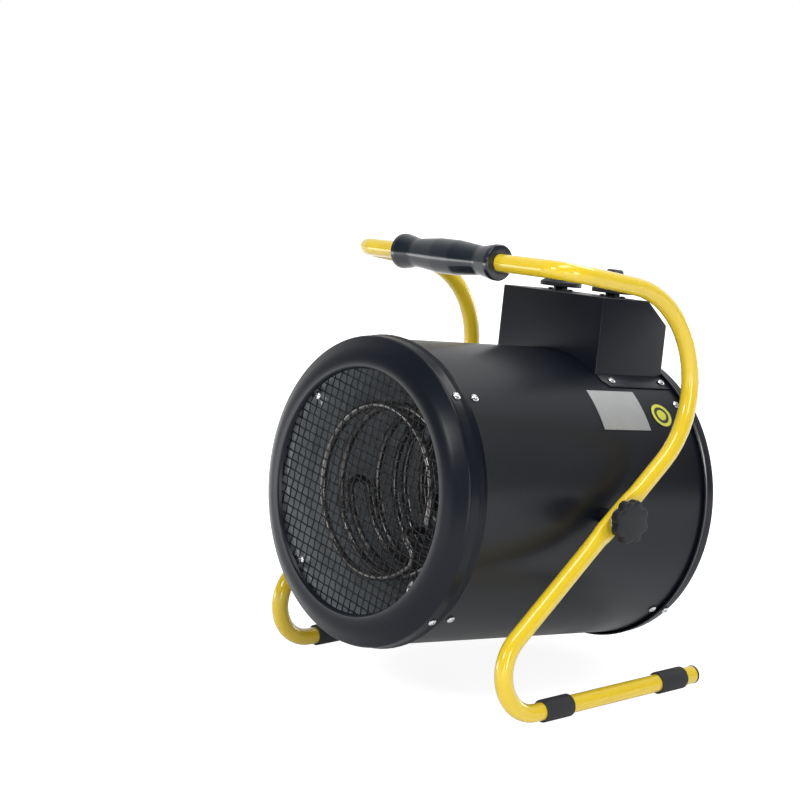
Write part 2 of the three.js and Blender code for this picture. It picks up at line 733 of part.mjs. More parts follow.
function terminalStrip() {
  const [width, depth, height] = terminalBlock;
  const floor = drumRadius + 4;
  const block = box([width, depth, height], [0, 0, floor + height / 2]);
  const wayPitch = width / terminalWays;
  const slot = () => alongZ(ring(0, 3, floor + 8, floor + height + 1, 8));
  const slots = Array.from({ length: terminalWays },
    (_, i) => slot().translate((i - (terminalWays - 1) / 2) * wayPitch, 0, 0));
  const feet = [-1, 1].map((s) => box([6, depth, 6], [s * (width / 2 - 3), 0, floor - 1]));
  const [across, back] = terminalPlace;
  const trimmed = cut(join(block, ...feet), ...slots).translate(across, boxFront + back, 0);
  return cut(trimmed, ring(0, boxSeat, 0, boxRear, drumFacets));
}

function cableGland() {
  const [x, z] = glandPlace;
  const hexRadius = glandHex / 2 / Math.cos(rad(30));
  const hex = ring(0, hexRadius, boxRear + seat, boxRear + 8, 6);
  const dome = turn([
    [0, boxRear + 7], [glandHex / 2, boxRear + 7], [glandHex / 2, boxRear + 15],
    [glandHex / 2 - 3, boxRear + 20], [0, boxRear + 20],
  ], 16);
  const thread = ring(0, glandThread, boxRear - 9, boxRear + 1, 16);
  const bore = ring(0, 5, boxRear - 10, boxRear + 21, 12);
  return cut(join(hex, dome, thread), bore).translate(x, 0, z);
}

// ---------------------------------------------------------------- tilt axis
const bossEnd = drumRadius + seat + bossLength;
const flatFace = bossEnd + seat;                      // inner face of the flattened tube
const tubePlane = flatFace + flatThickness / 2;
const washerFace = flatFace + flatThickness + seat;
const starFace = washerFace + washerSheet + seat;
const starHeight = knobCollar[1] + knobThickness;

function pivotBoss() {
  const raw = cut(alongX(ring(0, bossRadius, casingBore - 4, bossEnd, 20)), pivotHole());
  return cut(raw, ring(0, drumRadius + seat, -bossRadius * 2, bossRadius * 2, drumFacets));
}

function pivotNutPiece() {
  const [across, height] = pivotNut;
  const face = casingBore * Math.cos(Math.PI / drumFacets) - seat - 0.5;
  const nut = alongX(ring(0, across / 2 / Math.cos(rad(30)), face - height, face, 6));
  return cut(nut, pivotHole());
}

function clampStud() {
  const inner = drumRadius - studInside;
  return alongX(turn([
    [0, inner], [studRadius - 1, inner], [studRadius, inner + 1.5], [studRadius, starFace + studGrip],
    [0, starFace + studGrip],
  ], 16));
}

const clampWasher = () => alongX(ring(studHole, washerRadius, washerFace, washerFace + washerSheet, 16));

function clampKnob() {
  const [collarRadius, collarHeight] = knobCollar;
  const steps = knobLobes * 4;
  const outline = Array.from({ length: steps }, (_, i) => {
    const wave = 0.5 + 0.5 * Math.cos(2 * Math.PI * i / 4);
    return polar(knobRadius - knobLobeDepth * wave ** 1.4, 360 * i / steps);
  });
  const lobe = (scale, at) => outline.map(([u, v]) => new THREE.Vector3(at, u * scale, v * scale));
  const from = starFace + collarHeight;
  const to = starFace + starHeight;
  const star = skin([
    lobe(0.9, from), lobe(1, from + 2.5), lobe(1, to - 3), lobe(0.82, to),
  ]);
  const collar = alongX(ring(0, collarRadius, starFace, from + 1, 16));
  const socket = alongX(ring(0, studRadius + seat, starFace - 1, starFace + studGrip + seat, 16));
  return cut(join(star, collar), socket);
}

// ---------------------------------------------------------------- stand tube
const leanOut = (z) => tubePlane - sideLean * (z - THREE.MathUtils.clamp(z, -flatHalf, flatHalf));
const sidePoint = (y, z) => new THREE.Vector3(leanOut(z), y, z);
const legSlope = Math.tan(rad(legAngle));
const frontCorner = [footAxis / legSlope, footAxis];
const footFront = frontCorner[0] + frontBend / Math.tan(rad(legAngle / 2));
const sleevePlaces = [footFront + sleeveInset[0], footRear - sleeveInset[1]];
const armRise = Math.tan(rad(armSlope));
const rearCornerY = (handlePlace[1] + handlePlace[0] * armRise) / (legSlope + armRise);
const rearCorner = [rearCornerY, rearCornerY * legSlope];
const footPlane = leanOut(footAxis);

/** Stations of the right-hand side, from the end of the foot to the middle of the handle. */
function sideStations() {
  const along = new THREE.Vector3(0, Math.cos(rad(legAngle)), Math.sin(rad(legAngle)));
  const legPoint = (run) => along.clone().multiplyScalar(run);
  const flatEnds = [-flatHalf - flatTaper, -flatHalf, flatHalf, flatHalf + flatTaper];
  const corners = [
    new THREE.Vector3(0, footRear, footAxis), new THREE.Vector3(0, ...frontCorner),
    ...flatEnds.map(legPoint), new THREE.Vector3(0, ...rearCorner), new THREE.Vector3(0, ...handlePlace),
  ];
  const flatAt = (p) => (Math.hypot(p.y, p.z) < flatHalf + 1 ? 1 : 0);
  const side = rounded(corners, [frontBend, 0, 0, 0, 0, rearBend])
    .map((p) => ({ place: sidePoint(p.y, p.z), flat: flatAt(p), lean: 1 }));
  side.pop();
  const arm = side[side.length - 1].place;
  const top = sidePoint(...handlePlace);
  const bend = rounded([arm, top, new THREE.Vector3(0, ...handlePlace)], [handleBend]).slice(1, -1);
  return [...side, ...bend.map((place) => ({ place, flat: 0, lean: 0 }))];
}

function standTube() {
  const right = sideStations();
  const mirrored = ({ x, y, z }) => new THREE.Vector3(-x, y, z);
  const left = right.slice().reverse()
    .map(({ place, flat, lean }) => ({ place: mirrored(place), flat, lean: -lean }));
  const stations = [...right, ...left];
  const along = tangents(stations.map((s) => s.place));
  let across = new THREE.Vector3(1, 0, 0);
  const frames = stations.map(({ lean }, i) => {
    const start = lean ? new THREE.Vector3(lean, 0, 0) : across;
    across = start.clone().addScaledVector(along[i], -start.dot(along[i])).normalize();
    return [across, new THREE.Vector3().crossVectors(along[i], across)];
  });
  const turns = Array.from({ length: tubeSides }, (_, k) => 360 * (k + 0.5) / tubeSides);
  const rings = (radius, half) => stations.map(({ place, flat }, i) => turns.map((angle) => {
    const [u, v] = polar(radius, angle);
    const squeezed = flat ? THREE.MathUtils.clamp(u, -half, half) : u;
    return place.clone().addScaledVector(frames[i][0], squeezed)
      .addScaledVector(frames[i][1], flat ? v * flatSpread : v);
  }));
  const outer = rings(tubeRadius, flatThickness / 2);
  const inner = rings(tubeRadius - tubeWall, flatThickness / 2 - tubeWall);
  const tube = skin([...outer, ...inner.reverse()], true);
  return cut(tube, alongX(ring(0, studHole, -2 * tubePlane, 2 * tubePlane, 16)));
}

function handleGrip() {
  const half = gripLength / 2;
  const bore = tubeRadius + seat;
  const round = gripEnd - gripEndRound;
  const waist = half - gripWaistInset;
  const flank = [
    [gripWaist + 1, waist + 9], [gripWaist, waist], [gripWaist + 0.9, waist - 12],
    [gripSwell - 0.6, gripSwellHalf],
  ];
  const outline = [
    [bore, half], [round, half], ...arc([round, half - gripEndRound], gripEndRound, 60, -50, 2),
    ...flank, [gripSwell, 0], ...flank.slice().reverse().map(([r, x]) => [r, -x]),
    ...arc([round, gripEndRound - half], gripEndRound, 50, -60, 2), [round, -half],
    [bore, -half], [bore, half],
  ];
  return alongX(turn(outline, 16)).translate(gripPlace, ...handlePlace);
}

function footSleeve(side, y) {
  const half = sleeveLength / 2;
  const bore = tubeRadius / Math.cos(Math.PI / sleeveSides) + sleeveFit;
  const outline = [
    [bore, y - half], [sleeveRadius - 1.5, y - half], [sleeveRadius, y - half + 1.5],
    [sleeveRadius, y + half - 1.5], [sleeveRadius - 1.5, y + half], [bore, y + half], [bore, y - half],
  ];
  return turn(outline, sleeveSides, Math.PI / sleeveSides).translate(side * footPlane, 0, footAxis);
}

function tubeEndPlug(side) {
  const stem = (tubeRadius - tubeWall) * Math.cos(Math.PI / tubeSides) - plugFit;
  const from = footRear + seat;
  return turn([
    [0, footRear - plugStem], [stem - 1, footRear - plugStem], [stem, footRear - plugStem + 2], [stem, from],
    [tubeRadius + 0.4, from], [tubeRadius + 0.4, from + plugLip - 1], [tubeRadius - 1, from + plugLip],
    [0, from + plugLip],
  ], 10).translate(side * footPlane, 0, footAxis);
}

// ---------------------------------------------------------------- put together
add(standPieces, 'stand_tube', standTube(), yellowPaint);
add(standPieces, 'handle_grip', handleGrip(), glossPlastic);
for (const [side, sign] of sides) {
  ['front', 'rear'].forEach((end, i) => {
    add(standPieces, `foot_sleeve_${end}_${side}`, footSleeve(sign, sleevePlaces[i]), blackPlastic);
  });
  add(standPieces, `tube_end_plug_${side}`, tubeEndPlug(sign), blackPlastic);
}

/** The tilt hardware is drawn on the right and turned half round for the left. */
const onSide = (geometry, sign) => (sign > 0 ? geometry : geometry.rotateY(Math.PI));
for (const [side, sign] of sides) {
  add(standPieces, `clamp_washer_${side}`, onSide(clampWasher(), sign), zinc);
  add(standPieces, `clamp_stud_${side}`, onSide(clampStud(), sign), zinc);
  add(standPieces, `clamp_knob_${side}`, onSide(clampKnob(), sign), blackPlastic);
  add(drumPieces, `pivot_boss_${side}`, onSide(pivotBoss(), sign), blackPaint);
  add(drumPieces, `pivot_nut_${side}`, onSide(pivotNutPiece(), sign), zinc);
}

add(drumPieces, 'casing_shell', casingShell(), blackPaint);
add(drumPieces, 'front_bezel', frontBezel(), blackPaint);
add(drumPieces, 'front_mesh', frontMesh(), wireBlack);
add(drumPieces, 'inner_duct', innerDuct(), galvanised);
add(drumPieces, 'rear_ring', rearRing(), blackPaint);
add(drumPieces, 'rear_mesh', rearMesh(), wireBlack);
coilEndAngles.forEach((_, i) => {
  const path = elementPath(i);
  console.log(`heating element ${i + 1}: least gap to itself ${leastGap(path, elementTube).toFixed(2)} mm`);
  add(drumPieces, `heating_element_${i + 1}`, bar(path, elementTube, 6), elementSteel);
});
add(drumPieces, 'element_bracket', elementBracket(), galvanised);
add(drumPieces, 'thermal_cutout', thermalCutout(), blackPlastic);
add(drumPieces, 'fan_rotor', fanRotor(), fanAlloy);
add(drumPieces, 'motor_shaft', motorShaft(), zinc);
add(drumPieces, 'motor_body', motorBody(), motorGrey);
add(drumPieces, 'motor_bracket', motorBracket(), galvanised);
add(drumPieces, 'control_box_cover', controlBoxCover(), blackPaint);
add(drumPieces, 'rotary_switch', controlBody(switchBody, knobPlaces[0]), ivoryPlastic);
add(drumPieces, 'thermostat', thermostatPiece(knobPlaces[1]), ivoryPlastic);
add(drumPieces, 'selector_spindle', spindle(knobPlaces[0]), zinc);
add(drumPieces, 'thermostat_spindle', spindle(knobPlaces[1]), zinc);
add(drumPieces, 'selector_knob', pointerKnob(knobPlaces[0], knobTurns[0]), blackPlastic);
add(drumPieces, 'thermostat_knob', pointerKnob(knobPlaces[1], knobTurns[1]), blackPlastic);
add(drumPieces, 'selector_nut', panelNut(knobPlaces[0]), blackSteel);
add(drumPieces, 'thermostat_nut', panelNut(knobPlaces[1]), blackSteel);
add(drumPieces, 'terminal_strip', terminalStrip(), ivoryPlastic);
add(drumPieces, 'cable_gland', cableGland(), blackPlastic);

/** Screws are numbered round the drum from the right-hand upper one. */
function addScrews(name, radius, places) {
  places.forEach(([angle, y], i) => {
    add(drumPieces, `${name}_${i + 1}`, onDrum(screw(), radius, angle, y), zinc);
  });
}
addScrews('bezel_screw', boxSeat + bezelSheet, casingAngles.map((angle) => [angle, bezelScrewPlace]));
addScrews('rear_screw', drumRadius, casingAngles.map((angle) => [angle, rearScrewPlace]));
addScrews('box_screw', boxSeat + boxSheet, boxScrewPlaces);

const heater = new THREE.Group();
heater.add(standPieces, drumPieces);
heater.updateMatrixWorld(true);
const bounds = new THREE.Box3().setFromObject(heater, true);
const middle = bounds.getCenter(new THREE.Vector3());
heater.position.set(-middle.x, -middle.y, -bounds.min.z);

export default heater;
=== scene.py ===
# %% [markdown]
# # A portable drum heater on a tilting stand
# The heater is a rolled steel drum with a fan and heating coils inside, a control box on its back
# and a stand of bent tube. The CAD model gives every part its place, size and movement. This
# notebook gives each part its real surface: rounded pressings, a woven guard, wound coils, paint,
# plastic and bright screws.

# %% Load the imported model
import json
import math

import bmesh
import bpy
from bmesh.types import BMEdge, BMFace, BMVert
from mathutils import Matrix, Vector


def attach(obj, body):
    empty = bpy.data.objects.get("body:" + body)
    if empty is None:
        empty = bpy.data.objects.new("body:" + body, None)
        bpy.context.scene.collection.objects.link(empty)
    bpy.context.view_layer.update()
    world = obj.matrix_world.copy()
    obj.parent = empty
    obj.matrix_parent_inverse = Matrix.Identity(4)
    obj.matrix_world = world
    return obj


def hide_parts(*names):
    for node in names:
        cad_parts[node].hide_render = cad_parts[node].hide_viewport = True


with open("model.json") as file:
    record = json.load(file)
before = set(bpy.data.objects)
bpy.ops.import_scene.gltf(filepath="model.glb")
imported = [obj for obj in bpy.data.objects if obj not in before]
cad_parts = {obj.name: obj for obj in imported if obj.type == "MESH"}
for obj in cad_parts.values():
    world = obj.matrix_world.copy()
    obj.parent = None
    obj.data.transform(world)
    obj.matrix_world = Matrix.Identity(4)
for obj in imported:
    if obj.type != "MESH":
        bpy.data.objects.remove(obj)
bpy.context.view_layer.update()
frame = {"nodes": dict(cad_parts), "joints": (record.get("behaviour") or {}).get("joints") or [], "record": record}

# %% [markdown]
# ## The camera
# The photograph was taken with a long lens from the front right, a little above the drum. The lens
# and place were solved from the drum's circles, so the camera comes first: every later piece is
# judged through it. Aiming with `to_track_quat` keeps the camera level, and a small roll afterwards
# copies the hand-held tilt.

# %% Camera
def add_object(name, data):
    """Puts a new object into the scene."""
    made = bpy.data.objects.new(name, data)
    bpy.context.scene.collection.objects.link(made)
    return made


camera = add_object("camera", bpy.data.cameras.new("camera"))
camera.location = (1.7282, -1.6148, 0.6657)
look = Vector((-0.0708, -0.0681, 0.2904)) - camera.location
roll = Matrix.Rotation(math.radians(1.09), 4, "Z")
camera.rotation_euler = (look.to_track_quat("-Z", "Y").to_matrix().to_4x4() @ roll).to_euler()
camera.data.sensor_width = 36
camera.data.lens = 101.13
bpy.context.scene.camera = camera
print("camera stands", round(look.length, 2), "m from the heater")

# %% [markdown]
# ## Light and ground
# A product photograph uses soft lamps, because a satin cylinder shows its lamps as broad bands.
# Eight boxes stand round the heater: overhead, beside, in front, behind, and low at the camera's
# left. The world is plain white for the camera and for glass. Paint that mirrors the room sees
# white only behind the heater, fading to dark towards the camera, as in a studio, and diffuse light
# takes a weaker, slightly cool world.

# %% World
world = bpy.data.worlds.new("studio")
bpy.context.scene.world = world
world.use_nodes = True
nodes, links = world.node_tree.nodes, world.node_tree.links
nodes.clear()


def world_node(kind, *inputs, operation=None):
    """A node of the world, its inputs filled in order by sockets or values. Gives its outputs."""
    made = nodes.new("ShaderNode" + kind)
    if operation:
        made.operation = operation
    for socket, value in zip(made.inputs, inputs):
        if isinstance(value, bpy.types.NodeSocket):
            links.new(value, socket)
        else:
            socket.default_value = value
    return made.outputs


def larger(first, second):
    return world_node("Math", first, second, operation="MAXIMUM")[0]


rays = world_node("LightPath")
here = world_node("TexCoord")["Generated"]
toward = world_node("VectorMath", here, (-0.73, 0.68, -0.1), operation="DOT_PRODUCT")["Value"]
room = world_node("MapRange", toward, -0.1, 0.6, 0.05, 0.86)[0]
seen = larger(rays["Is Camera Ray"], rays["Is Transmission Ray"])
ambient = world_node("Background", (0.9, 0.95, 1, 1), 0.4)[0]
white = world_node("Background", (1, 1, 1, 1), larger(seen, room))[0]
choice = world_node("MixShader", larger(seen, rays["Is Glossy Ray"]), ambient, white)[0]
world_node("OutputWorld", choice)
bpy.context.scene.view_settings.view_transform = "Standard"
print("world:", world.name)


# %% Lamps
def soft_lamp(name, place, target, size, power):
    """A rectangular lamp at a place, aimed at a target."""
    lamp = add_object(name, bpy.data.lights.new(name, "AREA"))
    lamp.data.shape = "RECTANGLE"
    lamp.data.size, lamp.data.size_y = size
    lamp.data.energy = power
    lamp.location = place
    lamp.rotation_euler = (Vector(target) - Vector(place)).to_track_quat("-Z", "Y").to_euler()


LAMPS = [
    ("top_box", (0.5, -0.4, 1.7), (0.45, 0, 0.2), (0.5, 1.0), 10.5),
    ("key_box", (0.2, -2.05, 1.3), (0, 0, 0.2), (0.4, 0.4), 9),
    ("back_box", (0.05, 0.6, 1.25), (0, -0.05, 0.3), (0.6, 0.5), 5),
    ("side_strip", (1.9, -0.75, 0.55), (0.1, -0.15, 0.2), (0.35, 0.9), 10),
    ("front_box", (1.5, -1.7, 0.25), (0, -0.15, 0.2), (0.35, 0.5), 4),
    ("rim_box", (-1.3, -1.25, 0.1), (0, -0.15, 0.2), (0.9, 0.5), 6),
    ("rear_box", (0.2, 2.5, 0.4), (0, 0, 0.2), (0.6, 0.5), 6),
    ("low_box", (-0.4, -2.2, 0.05), (0, -0.2, 0.25), (1.2, 0.9), 4),
]
for lamp in LAMPS:
    soft_lamp(*lamp)
print(len(LAMPS), "soft lamps")

# %% [markdown]
# ## A small language for materials
# Blender's materials are graphs of nodes. Writing `1 - mask * 0.5` is easier to read than three
# linked Math nodes, so `Signal` wraps a socket and builds those nodes from Python's own operators.
# Every other kind of node comes from `Finish.node`, which sets the node's options first and then
# its inputs.

# %% Signals and finishes
class Signal:
    """A socket of a material that Python's operators can work on."""

    def __init__(self, finish, socket):
        self.finish, self.socket = finish, socket

    def math(self, operation, *values):
        return self.finish.node("Math", {"operation": operation}, dict(enumerate(values)))

    def __add__(self, other):
        return self.math("ADD", self, other)

    def __rsub__(self, other):
        return self.math("SUBTRACT", other, self)

    def __mul__(self, other):
        return self.math("MULTIPLY", self, other)


class Finish:
    """A material with one surface shader, and the means to add nodes to it."""

    def __init__(self, name, color, roughness, metallic=0.0, **more):
        self.material = bpy.data.materials.new(name)
        self.material.use_nodes = True
        self.tree = self.material.node_tree
        self.shader = self.tree.nodes["Principled BSDF"]
        self.set(Base_Color=(*color, 1), Roughness=roughness, Metallic=metallic, **more)
        self.material.diffuse_color = (*color, 1)

    def set(self, **inputs):
        for key, value in inputs.items():
            self.feed(self.shader.inputs[key.replace("_", " ")], value)

    def feed(self, socket, value):
        if isinstance(value, Signal):
            self.tree.links.new(value.socket, socket)
        else:
            socket.default_value = value

    def node(self, kind, settings=None, inputs=None, output=0):
        made = self.tree.nodes.new("ShaderNode" + kind)
        for key, value in (settings or {}).items():
            setattr(made, key, value)
        for key, value in (inputs or {}).items():
            self.feed(made.inputs[key], value)
        return Signal(self, made.outputs[output])

    def place(self, scale=(1, 1, 1)):
        """Object coordinates, in metres, scaled."""
        here = self.node("TexCoord", output=3)
        return self.node("Mapping", {"vector_type": "TEXTURE"},
                         {"Vector": here, "Scale": [1 / s for s in scale]})

    def noise(self, scale, detail, where=None):
        where = where or self.place()
        return self.node("TexNoise", None, {"Vector": where, "Scale": scale, "Detail": detail})

    def range(self, value, low, high, to_low=0.0, to_high=1.0):
        return self.node("MapRange", {"clamp": True},
                         {0: value, 1: low, 2: high, 3: to_low, 4: to_high})

    def mix(self, mask, first, second):
        return self.node("Mix", {"data_type": "RGBA"}, {0: mask, 6: first, 7: second}, output=2)

    def vary(self, mask, first, second, *gloss):
        """Lets the colour and the gloss follow a mask."""
        self.set(Base_Color=self.mix(mask, first, second), Roughness=self.range(mask, *gloss))

    def bump(self, height, strength, distance):
        self.set(Normal=self.node("Bump", None, {"Height": height, "Strength": strength,
                                                 "Distance": distance}))


# %% [markdown]
# ## Paints and plastics
# The drum has a satin black powder coat with a thin, softer skin over it. It dries with a fine
# orange-peel surface, so its bump is a noise about a millimetre across, and its gloss varies a
# little over a hand's width. The stand's yellow enamel is glossy under a full clear skin. Both
# skins are Principled's coat. The grip is a polished moulding, and the other moulded parts are matt
# and finer grained.

# %% Paints
def shade(color, amount):
    """A colour made darker or lighter, as a socket takes it."""
    return (*[c * amount for c in color], 1)


def mottled(name, color, roughness, metallic=0.0, *, drift, tones, gloss, grain, span=(0.3, 0.7),
            **more):
    """A finish whose colour and gloss drift with a slow noise, under the bump of a fine one."""
    finish = Finish(name, color, roughness, metallic, **more)
    slow = finish.noise(*drift)
    finish.vary(slow, shade(color, tones[0]), shade(color, tones[1]), *span, *gloss)
    scale, detail, strength, depth = grain
    finish.bump(finish.noise(scale, detail), strength, depth)
    return finish


black_paint = mottled("satin_black_paint", (0.0064, 0.0082, 0.0128), 0.34, drift=(9, 4),
                      tones=(0.85, 1.15), gloss=(0.3, 0.38), span=(0.35, 0.65),
                      grain=(900, 2, 0.1, 0.0004), Specular_IOR_Level=0.1, Coat_Weight=0.2,
                      Coat_Roughness=0.24)
yellow_paint = mottled("yellow_enamel", (0.8, 0.565, 0.026), 0.3, drift=(14, 3), tones=(0.93, 1.05),
                       gloss=(0.24, 0.32), span=(0.35, 0.65), grain=(140, 2, 0.03, 0.0004),
                       Specular_IOR_Level=0.2, Coat_Weight=1.0, Coat_Roughness=0.1)
print("paints:", black_paint.material.name, yellow_paint.material.name)

# %% Plastics and rubber
gloss_plastic = mottled("gloss_grip_plastic", (0.0135, 0.0175, 0.024), 0.16, drift=(40, 4),
                        tones=(0.85, 1.2), gloss=(0.12, 0.2), span=(0.35, 0.7),
                        grain=(300, 2, 0.03, 0.0002), Specular_IOR_Level=0.5)
matt_plastic = mottled("matt_black_plastic", (0.014, 0.015, 0.018), 0.5, drift=(60, 3),
                       tones=(0.85, 1.2), gloss=(0.44, 0.56), grain=(1500, 1, 0.25, 0.0002),
                       Specular_IOR_Level=0.3)
rubber = mottled("black_rubber", (0.03, 0.0305, 0.034), 0.68, drift=(90, 5), tones=(0.8, 1.35),
                 gloss=(0.6, 0.76), grain=(700, 3, 0.3, 0.0003), Specular_IOR_Level=0.3)
ivory_plastic = mottled("ivory_moulding", (0.62, 0.58, 0.47), 0.45, drift=(80, 3),
                        tones=(0.94, 1.04), gloss=(0.4, 0.5), grain=(600, 2, 0.15, 0.0002))
print("mouldings:", gloss_plastic.material.name, matt_plastic.material.name)

# %% [markdown]
# ## Metals
# A bare metal has little colour of its own: what tells zinc from aluminium is how sharp and how
# even the reflection is. Zinc-plated screws are nearly mirrors, galvanised sheet shows flat
# crystals called spangle, which a Voronoi texture makes, and the heater tubes are dull steel,
# browned here and there by the heat.

# %% Screws, nuts and guard wire
zinc = mottled("bright_zinc", (0.78, 0.79, 0.8), 0.22, 0.9, drift=(300, 3), tones=(0.88, 1.05),
               gloss=(0.17, 0.3), grain=(1200, 2, 0.06, 0.0002))
black_steel = mottled("black_oxide_steel", (0.02, 0.021, 0.024), 0.4, 0.3, drift=(200, 3),
                      tones=(0.8, 1.3), gloss=(0.32, 0.5), grain=(900, 2, 0.1, 0.0002))
guard_wire = mottled("guard_wire", (0.012, 0.013, 0.016), 0.42, drift=(60, 3), tones=(0.8, 1.25),
                     gloss=(0.36, 0.5), grain=(900, 2, 0.1, 0.0002), Specular_IOR_Level=0.25)
print("wire and screws:", zinc.material.name, guard_wire.material.name)

# %% Liner and heating tubes
GALVANISED = (0.34, 0.36, 0.375)
galvanised = Finish("galvanised_sheet", GALVANISED, 0.4, 0.15)
crystal = galvanised.node("TexVoronoi", None, {"Vector": galvanised.place(), "Scale": 110.0},
                          output=1)
tone = galvanised.node("RGBToBW", None, {0: crystal})
galvanised.vary(tone, shade(GALVANISED, 0.92), shade(GALVANISED, 1.05), 0.2, 0.8, 0.3, 0.38)
galvanised.bump(tone, 0.02, 0.0002)

SHEATH, BROWNED = (0.16, 0.155, 0.15), (0.09, 0.084, 0.08)
sheath = Finish("element_sheath", SHEATH, 0.28, 0.9)
heat = sheath.noise(28, 4)
stain = sheath.range(heat, 0.42, 0.62)
sheath.set(Base_Color=sheath.mix(stain, shade(SHEATH, 1.0), shade(BROWNED, 1.0)),
           Roughness=sheath.range(heat, 0.3, 0.7, 0.2, 0.36))
sheath.bump(sheath.noise(500, 3), 0.1, 0.0002)
print("sheet and sheath:", galvanised.material.name, sheath.material.name)

# %% Fan and motor metals
ALLOY = (0.52, 0.53, 0.54)
fan_alloy = Finish("fan_alloy", ALLOY, 0.42, 0.85)
rub = fan_alloy.noise(30, 4, fan_alloy.place((1, 14, 1)))
fan_alloy.vary(rub, shade(ALLOY, 0.85), shade(ALLOY, 1.06), 0.3, 0.7, 0.34, 0.5)
fan_alloy.bump(rub, 0.05, 0.0003)
motor_casting = mottled("motor_casting", (0.05, 0.053, 0.058), 0.5, 0.3, drift=(400, 4),
                        tones=(0.85, 1.2), gloss=(0.42, 0.58), grain=(400, 4, 0.3, 0.0004))
print("fan and motor:", fan_alloy.material.name, motor_casting.material.name)

# %% Which slot takes which finish
finishes = {
    "black_paint": black_paint, "yellow_paint": yellow_paint, "gloss_black_plastic": gloss_plastic,
    "black_plastic": matt_plastic, "foot_rubber": rubber, "ivory_plastic": ivory_plastic,
    "zinc_steel": zinc, "galvanised_sheet": galvanised, "element_sheath": sheath,
    "black_steel": black_steel, "guard_wire": guard_wire, "fan_alloy": fan_alloy,
    "motor_casting": motor_casting,
}
slot_of = {part["node"]: part["material_slot"] for part in frame["record"]["subparts"]}
for name, node in frame["nodes"].items():
    for material_slot in node.material_slots:
        material_slot.material = finishes[slot_of[name]].material
print(len(finishes), "finishes for", len(slot_of), "nodes")

# %% [markdown]
# ## Drawing in the maker's own frame
# The drum leans back on its tilt axis, which would make every circle awkward to draw. So drum
# pieces are drawn straight, in millimetres, with the drum's axis on Y, and one matrix then leans
# them, shrinks them to metres and sets them on the tilt axis. The place ends up in the mesh, and
# the object stays at the origin.

# %% Places
MM = 0.001
REST_LEAN = -6.5


def rotation(degrees, axis, size=4):
    """A turning matrix, from degrees."""
    return Matrix.Rotation(math.radians(degrees), size, axis)


tilt_axis = Vector(next(j["pos_m"] for j in frame["joints"] if j["name"] == "tilt"))
on_stand = Matrix.Translation(tilt_axis) @ Matrix.Scale(MM, 4)
on_drum = Matrix.Translation(tilt_axis) @ rotation(REST_LEAN, "X") @ Matrix.Scale(MM, 4)
print("tilt axis, metres:", [round(v, 4) for v in tilt_axis])

# %% Finishing a piece
STAND = {"place": on_stand, "body": "stand"}


def finish_piece(name, bm, slot, node=None, crease=32, finish=None, place=on_drum, body="heater"):
    """Turns a drawn shape into a piece that rides on a body and stands for a node of the CAD."""
    bmesh.ops.transform(bm, matrix=place, verts=bm.verts)
    mesh = bpy.data.meshes.new(name)
    bm.to_mesh(mesh)
    bm.free()
    mesh.shade_smooth()
    mesh.set_sharp_from_angle(angle=math.radians(crease))
    mesh.materials.append((finish or finishes[slot]).material)
    piece = add_object(name, mesh)
    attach(piece, body)
    if node:
        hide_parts(node)
    print(f"{name}: {len(mesh.polygons)} faces")


# %% [markdown]
# ## Small steps that come back
# Turning, moving, pushing and rounding a shape each take one operator with the same settings every
# time. The defaults of a bmesh bevel differ from the editor's, so `round_edges` states its profile
# and material. Tabs, fins and ears are blocks turned about the drum's axis, and `gather` joins
# shapes into one piece.

# %% Turning, moving, pushing and rounding
def turn_shape(bm, degrees, axis):
    """Turns a shape about an axis through the origin."""
    bmesh.ops.rotate(bm, cent=(0, 0, 0), matrix=rotation(degrees, axis, 3), verts=bm.verts)


def move_shape(bm, way, verts=None):
    """Moves a shape, or some of its points."""
    bmesh.ops.translate(bm, vec=way, verts=bm.verts if verts is None else verts)


def only(kind, geom):
    """The points, edges or faces of a mixed list."""
    return [g for g in geom if isinstance(g, kind)]


def push_faces(bm, faces, way):
    """Extrudes faces, moves the copy and returns its points."""
    moved = only(BMVert, bmesh.ops.extrude_face_region(bm, geom=faces)["geom"])
    move_shape(bm, way, moved)
    return moved


def round_edges(bm, edges, offset, segments):
    """Rounds edges with a round section."""
    bmesh.ops.bevel(bm, geom=edges, offset=offset, segments=segments, profile=0.5, affect="EDGES",
                    material=-1)


def slice_shape(bm, point, normal, **more):
    """Cuts every face that crosses a plane."""
    bmesh.ops.bisect_plane(bm, geom=bm.verts[:] + bm.edges[:] + bm.faces[:], plane_co=point,
                           plane_no=normal, **more)


def face_outwards(bm):
    bmesh.ops.recalc_face_normals(bm, faces=bm.faces)


# %% Blocks, alone and round the drum
def block(size, centre, bevel=0.0):
    """A box whose edges may be rounded."""
    bm = bmesh.new()
    bmesh.ops.create_cube(bm, size=1)
    bmesh.ops.scale(bm, vec=size, verts=bm.verts)
    if bevel:
        round_edges(bm, bm.edges[:], bevel, 2)
    move_shape(bm, centre)
    return bm


def gather(*shapes):
    """Several bmeshes as one."""
    whole, scratch = bmesh.new(), bpy.data.meshes.new("part")
    for shape in shapes:
        shape.to_mesh(scratch)
        shape.free()
        whole.from_mesh(scratch)
    return whole


def blocks_round(size, centre, turns, bevel=0.0):
    """Equal blocks, each turned about the drum's axis."""
    blocks = []
    for degrees in turns:
        blocks.append(block(size, centre, bevel))
        turn_shape(blocks[-1], degrees, "Y")
    return blocks


# %% [markdown]
# ## Turning
# The bezel, casing, ring, grip, sleeves and knobs are all round, so each starts as a line of
# points, its profile, that `spin` sweeps about an axis. Sharp corners in pressed sheet don't exist,
# so `profile` takes a radius for each corner and puts a short arc there before the line is spun.

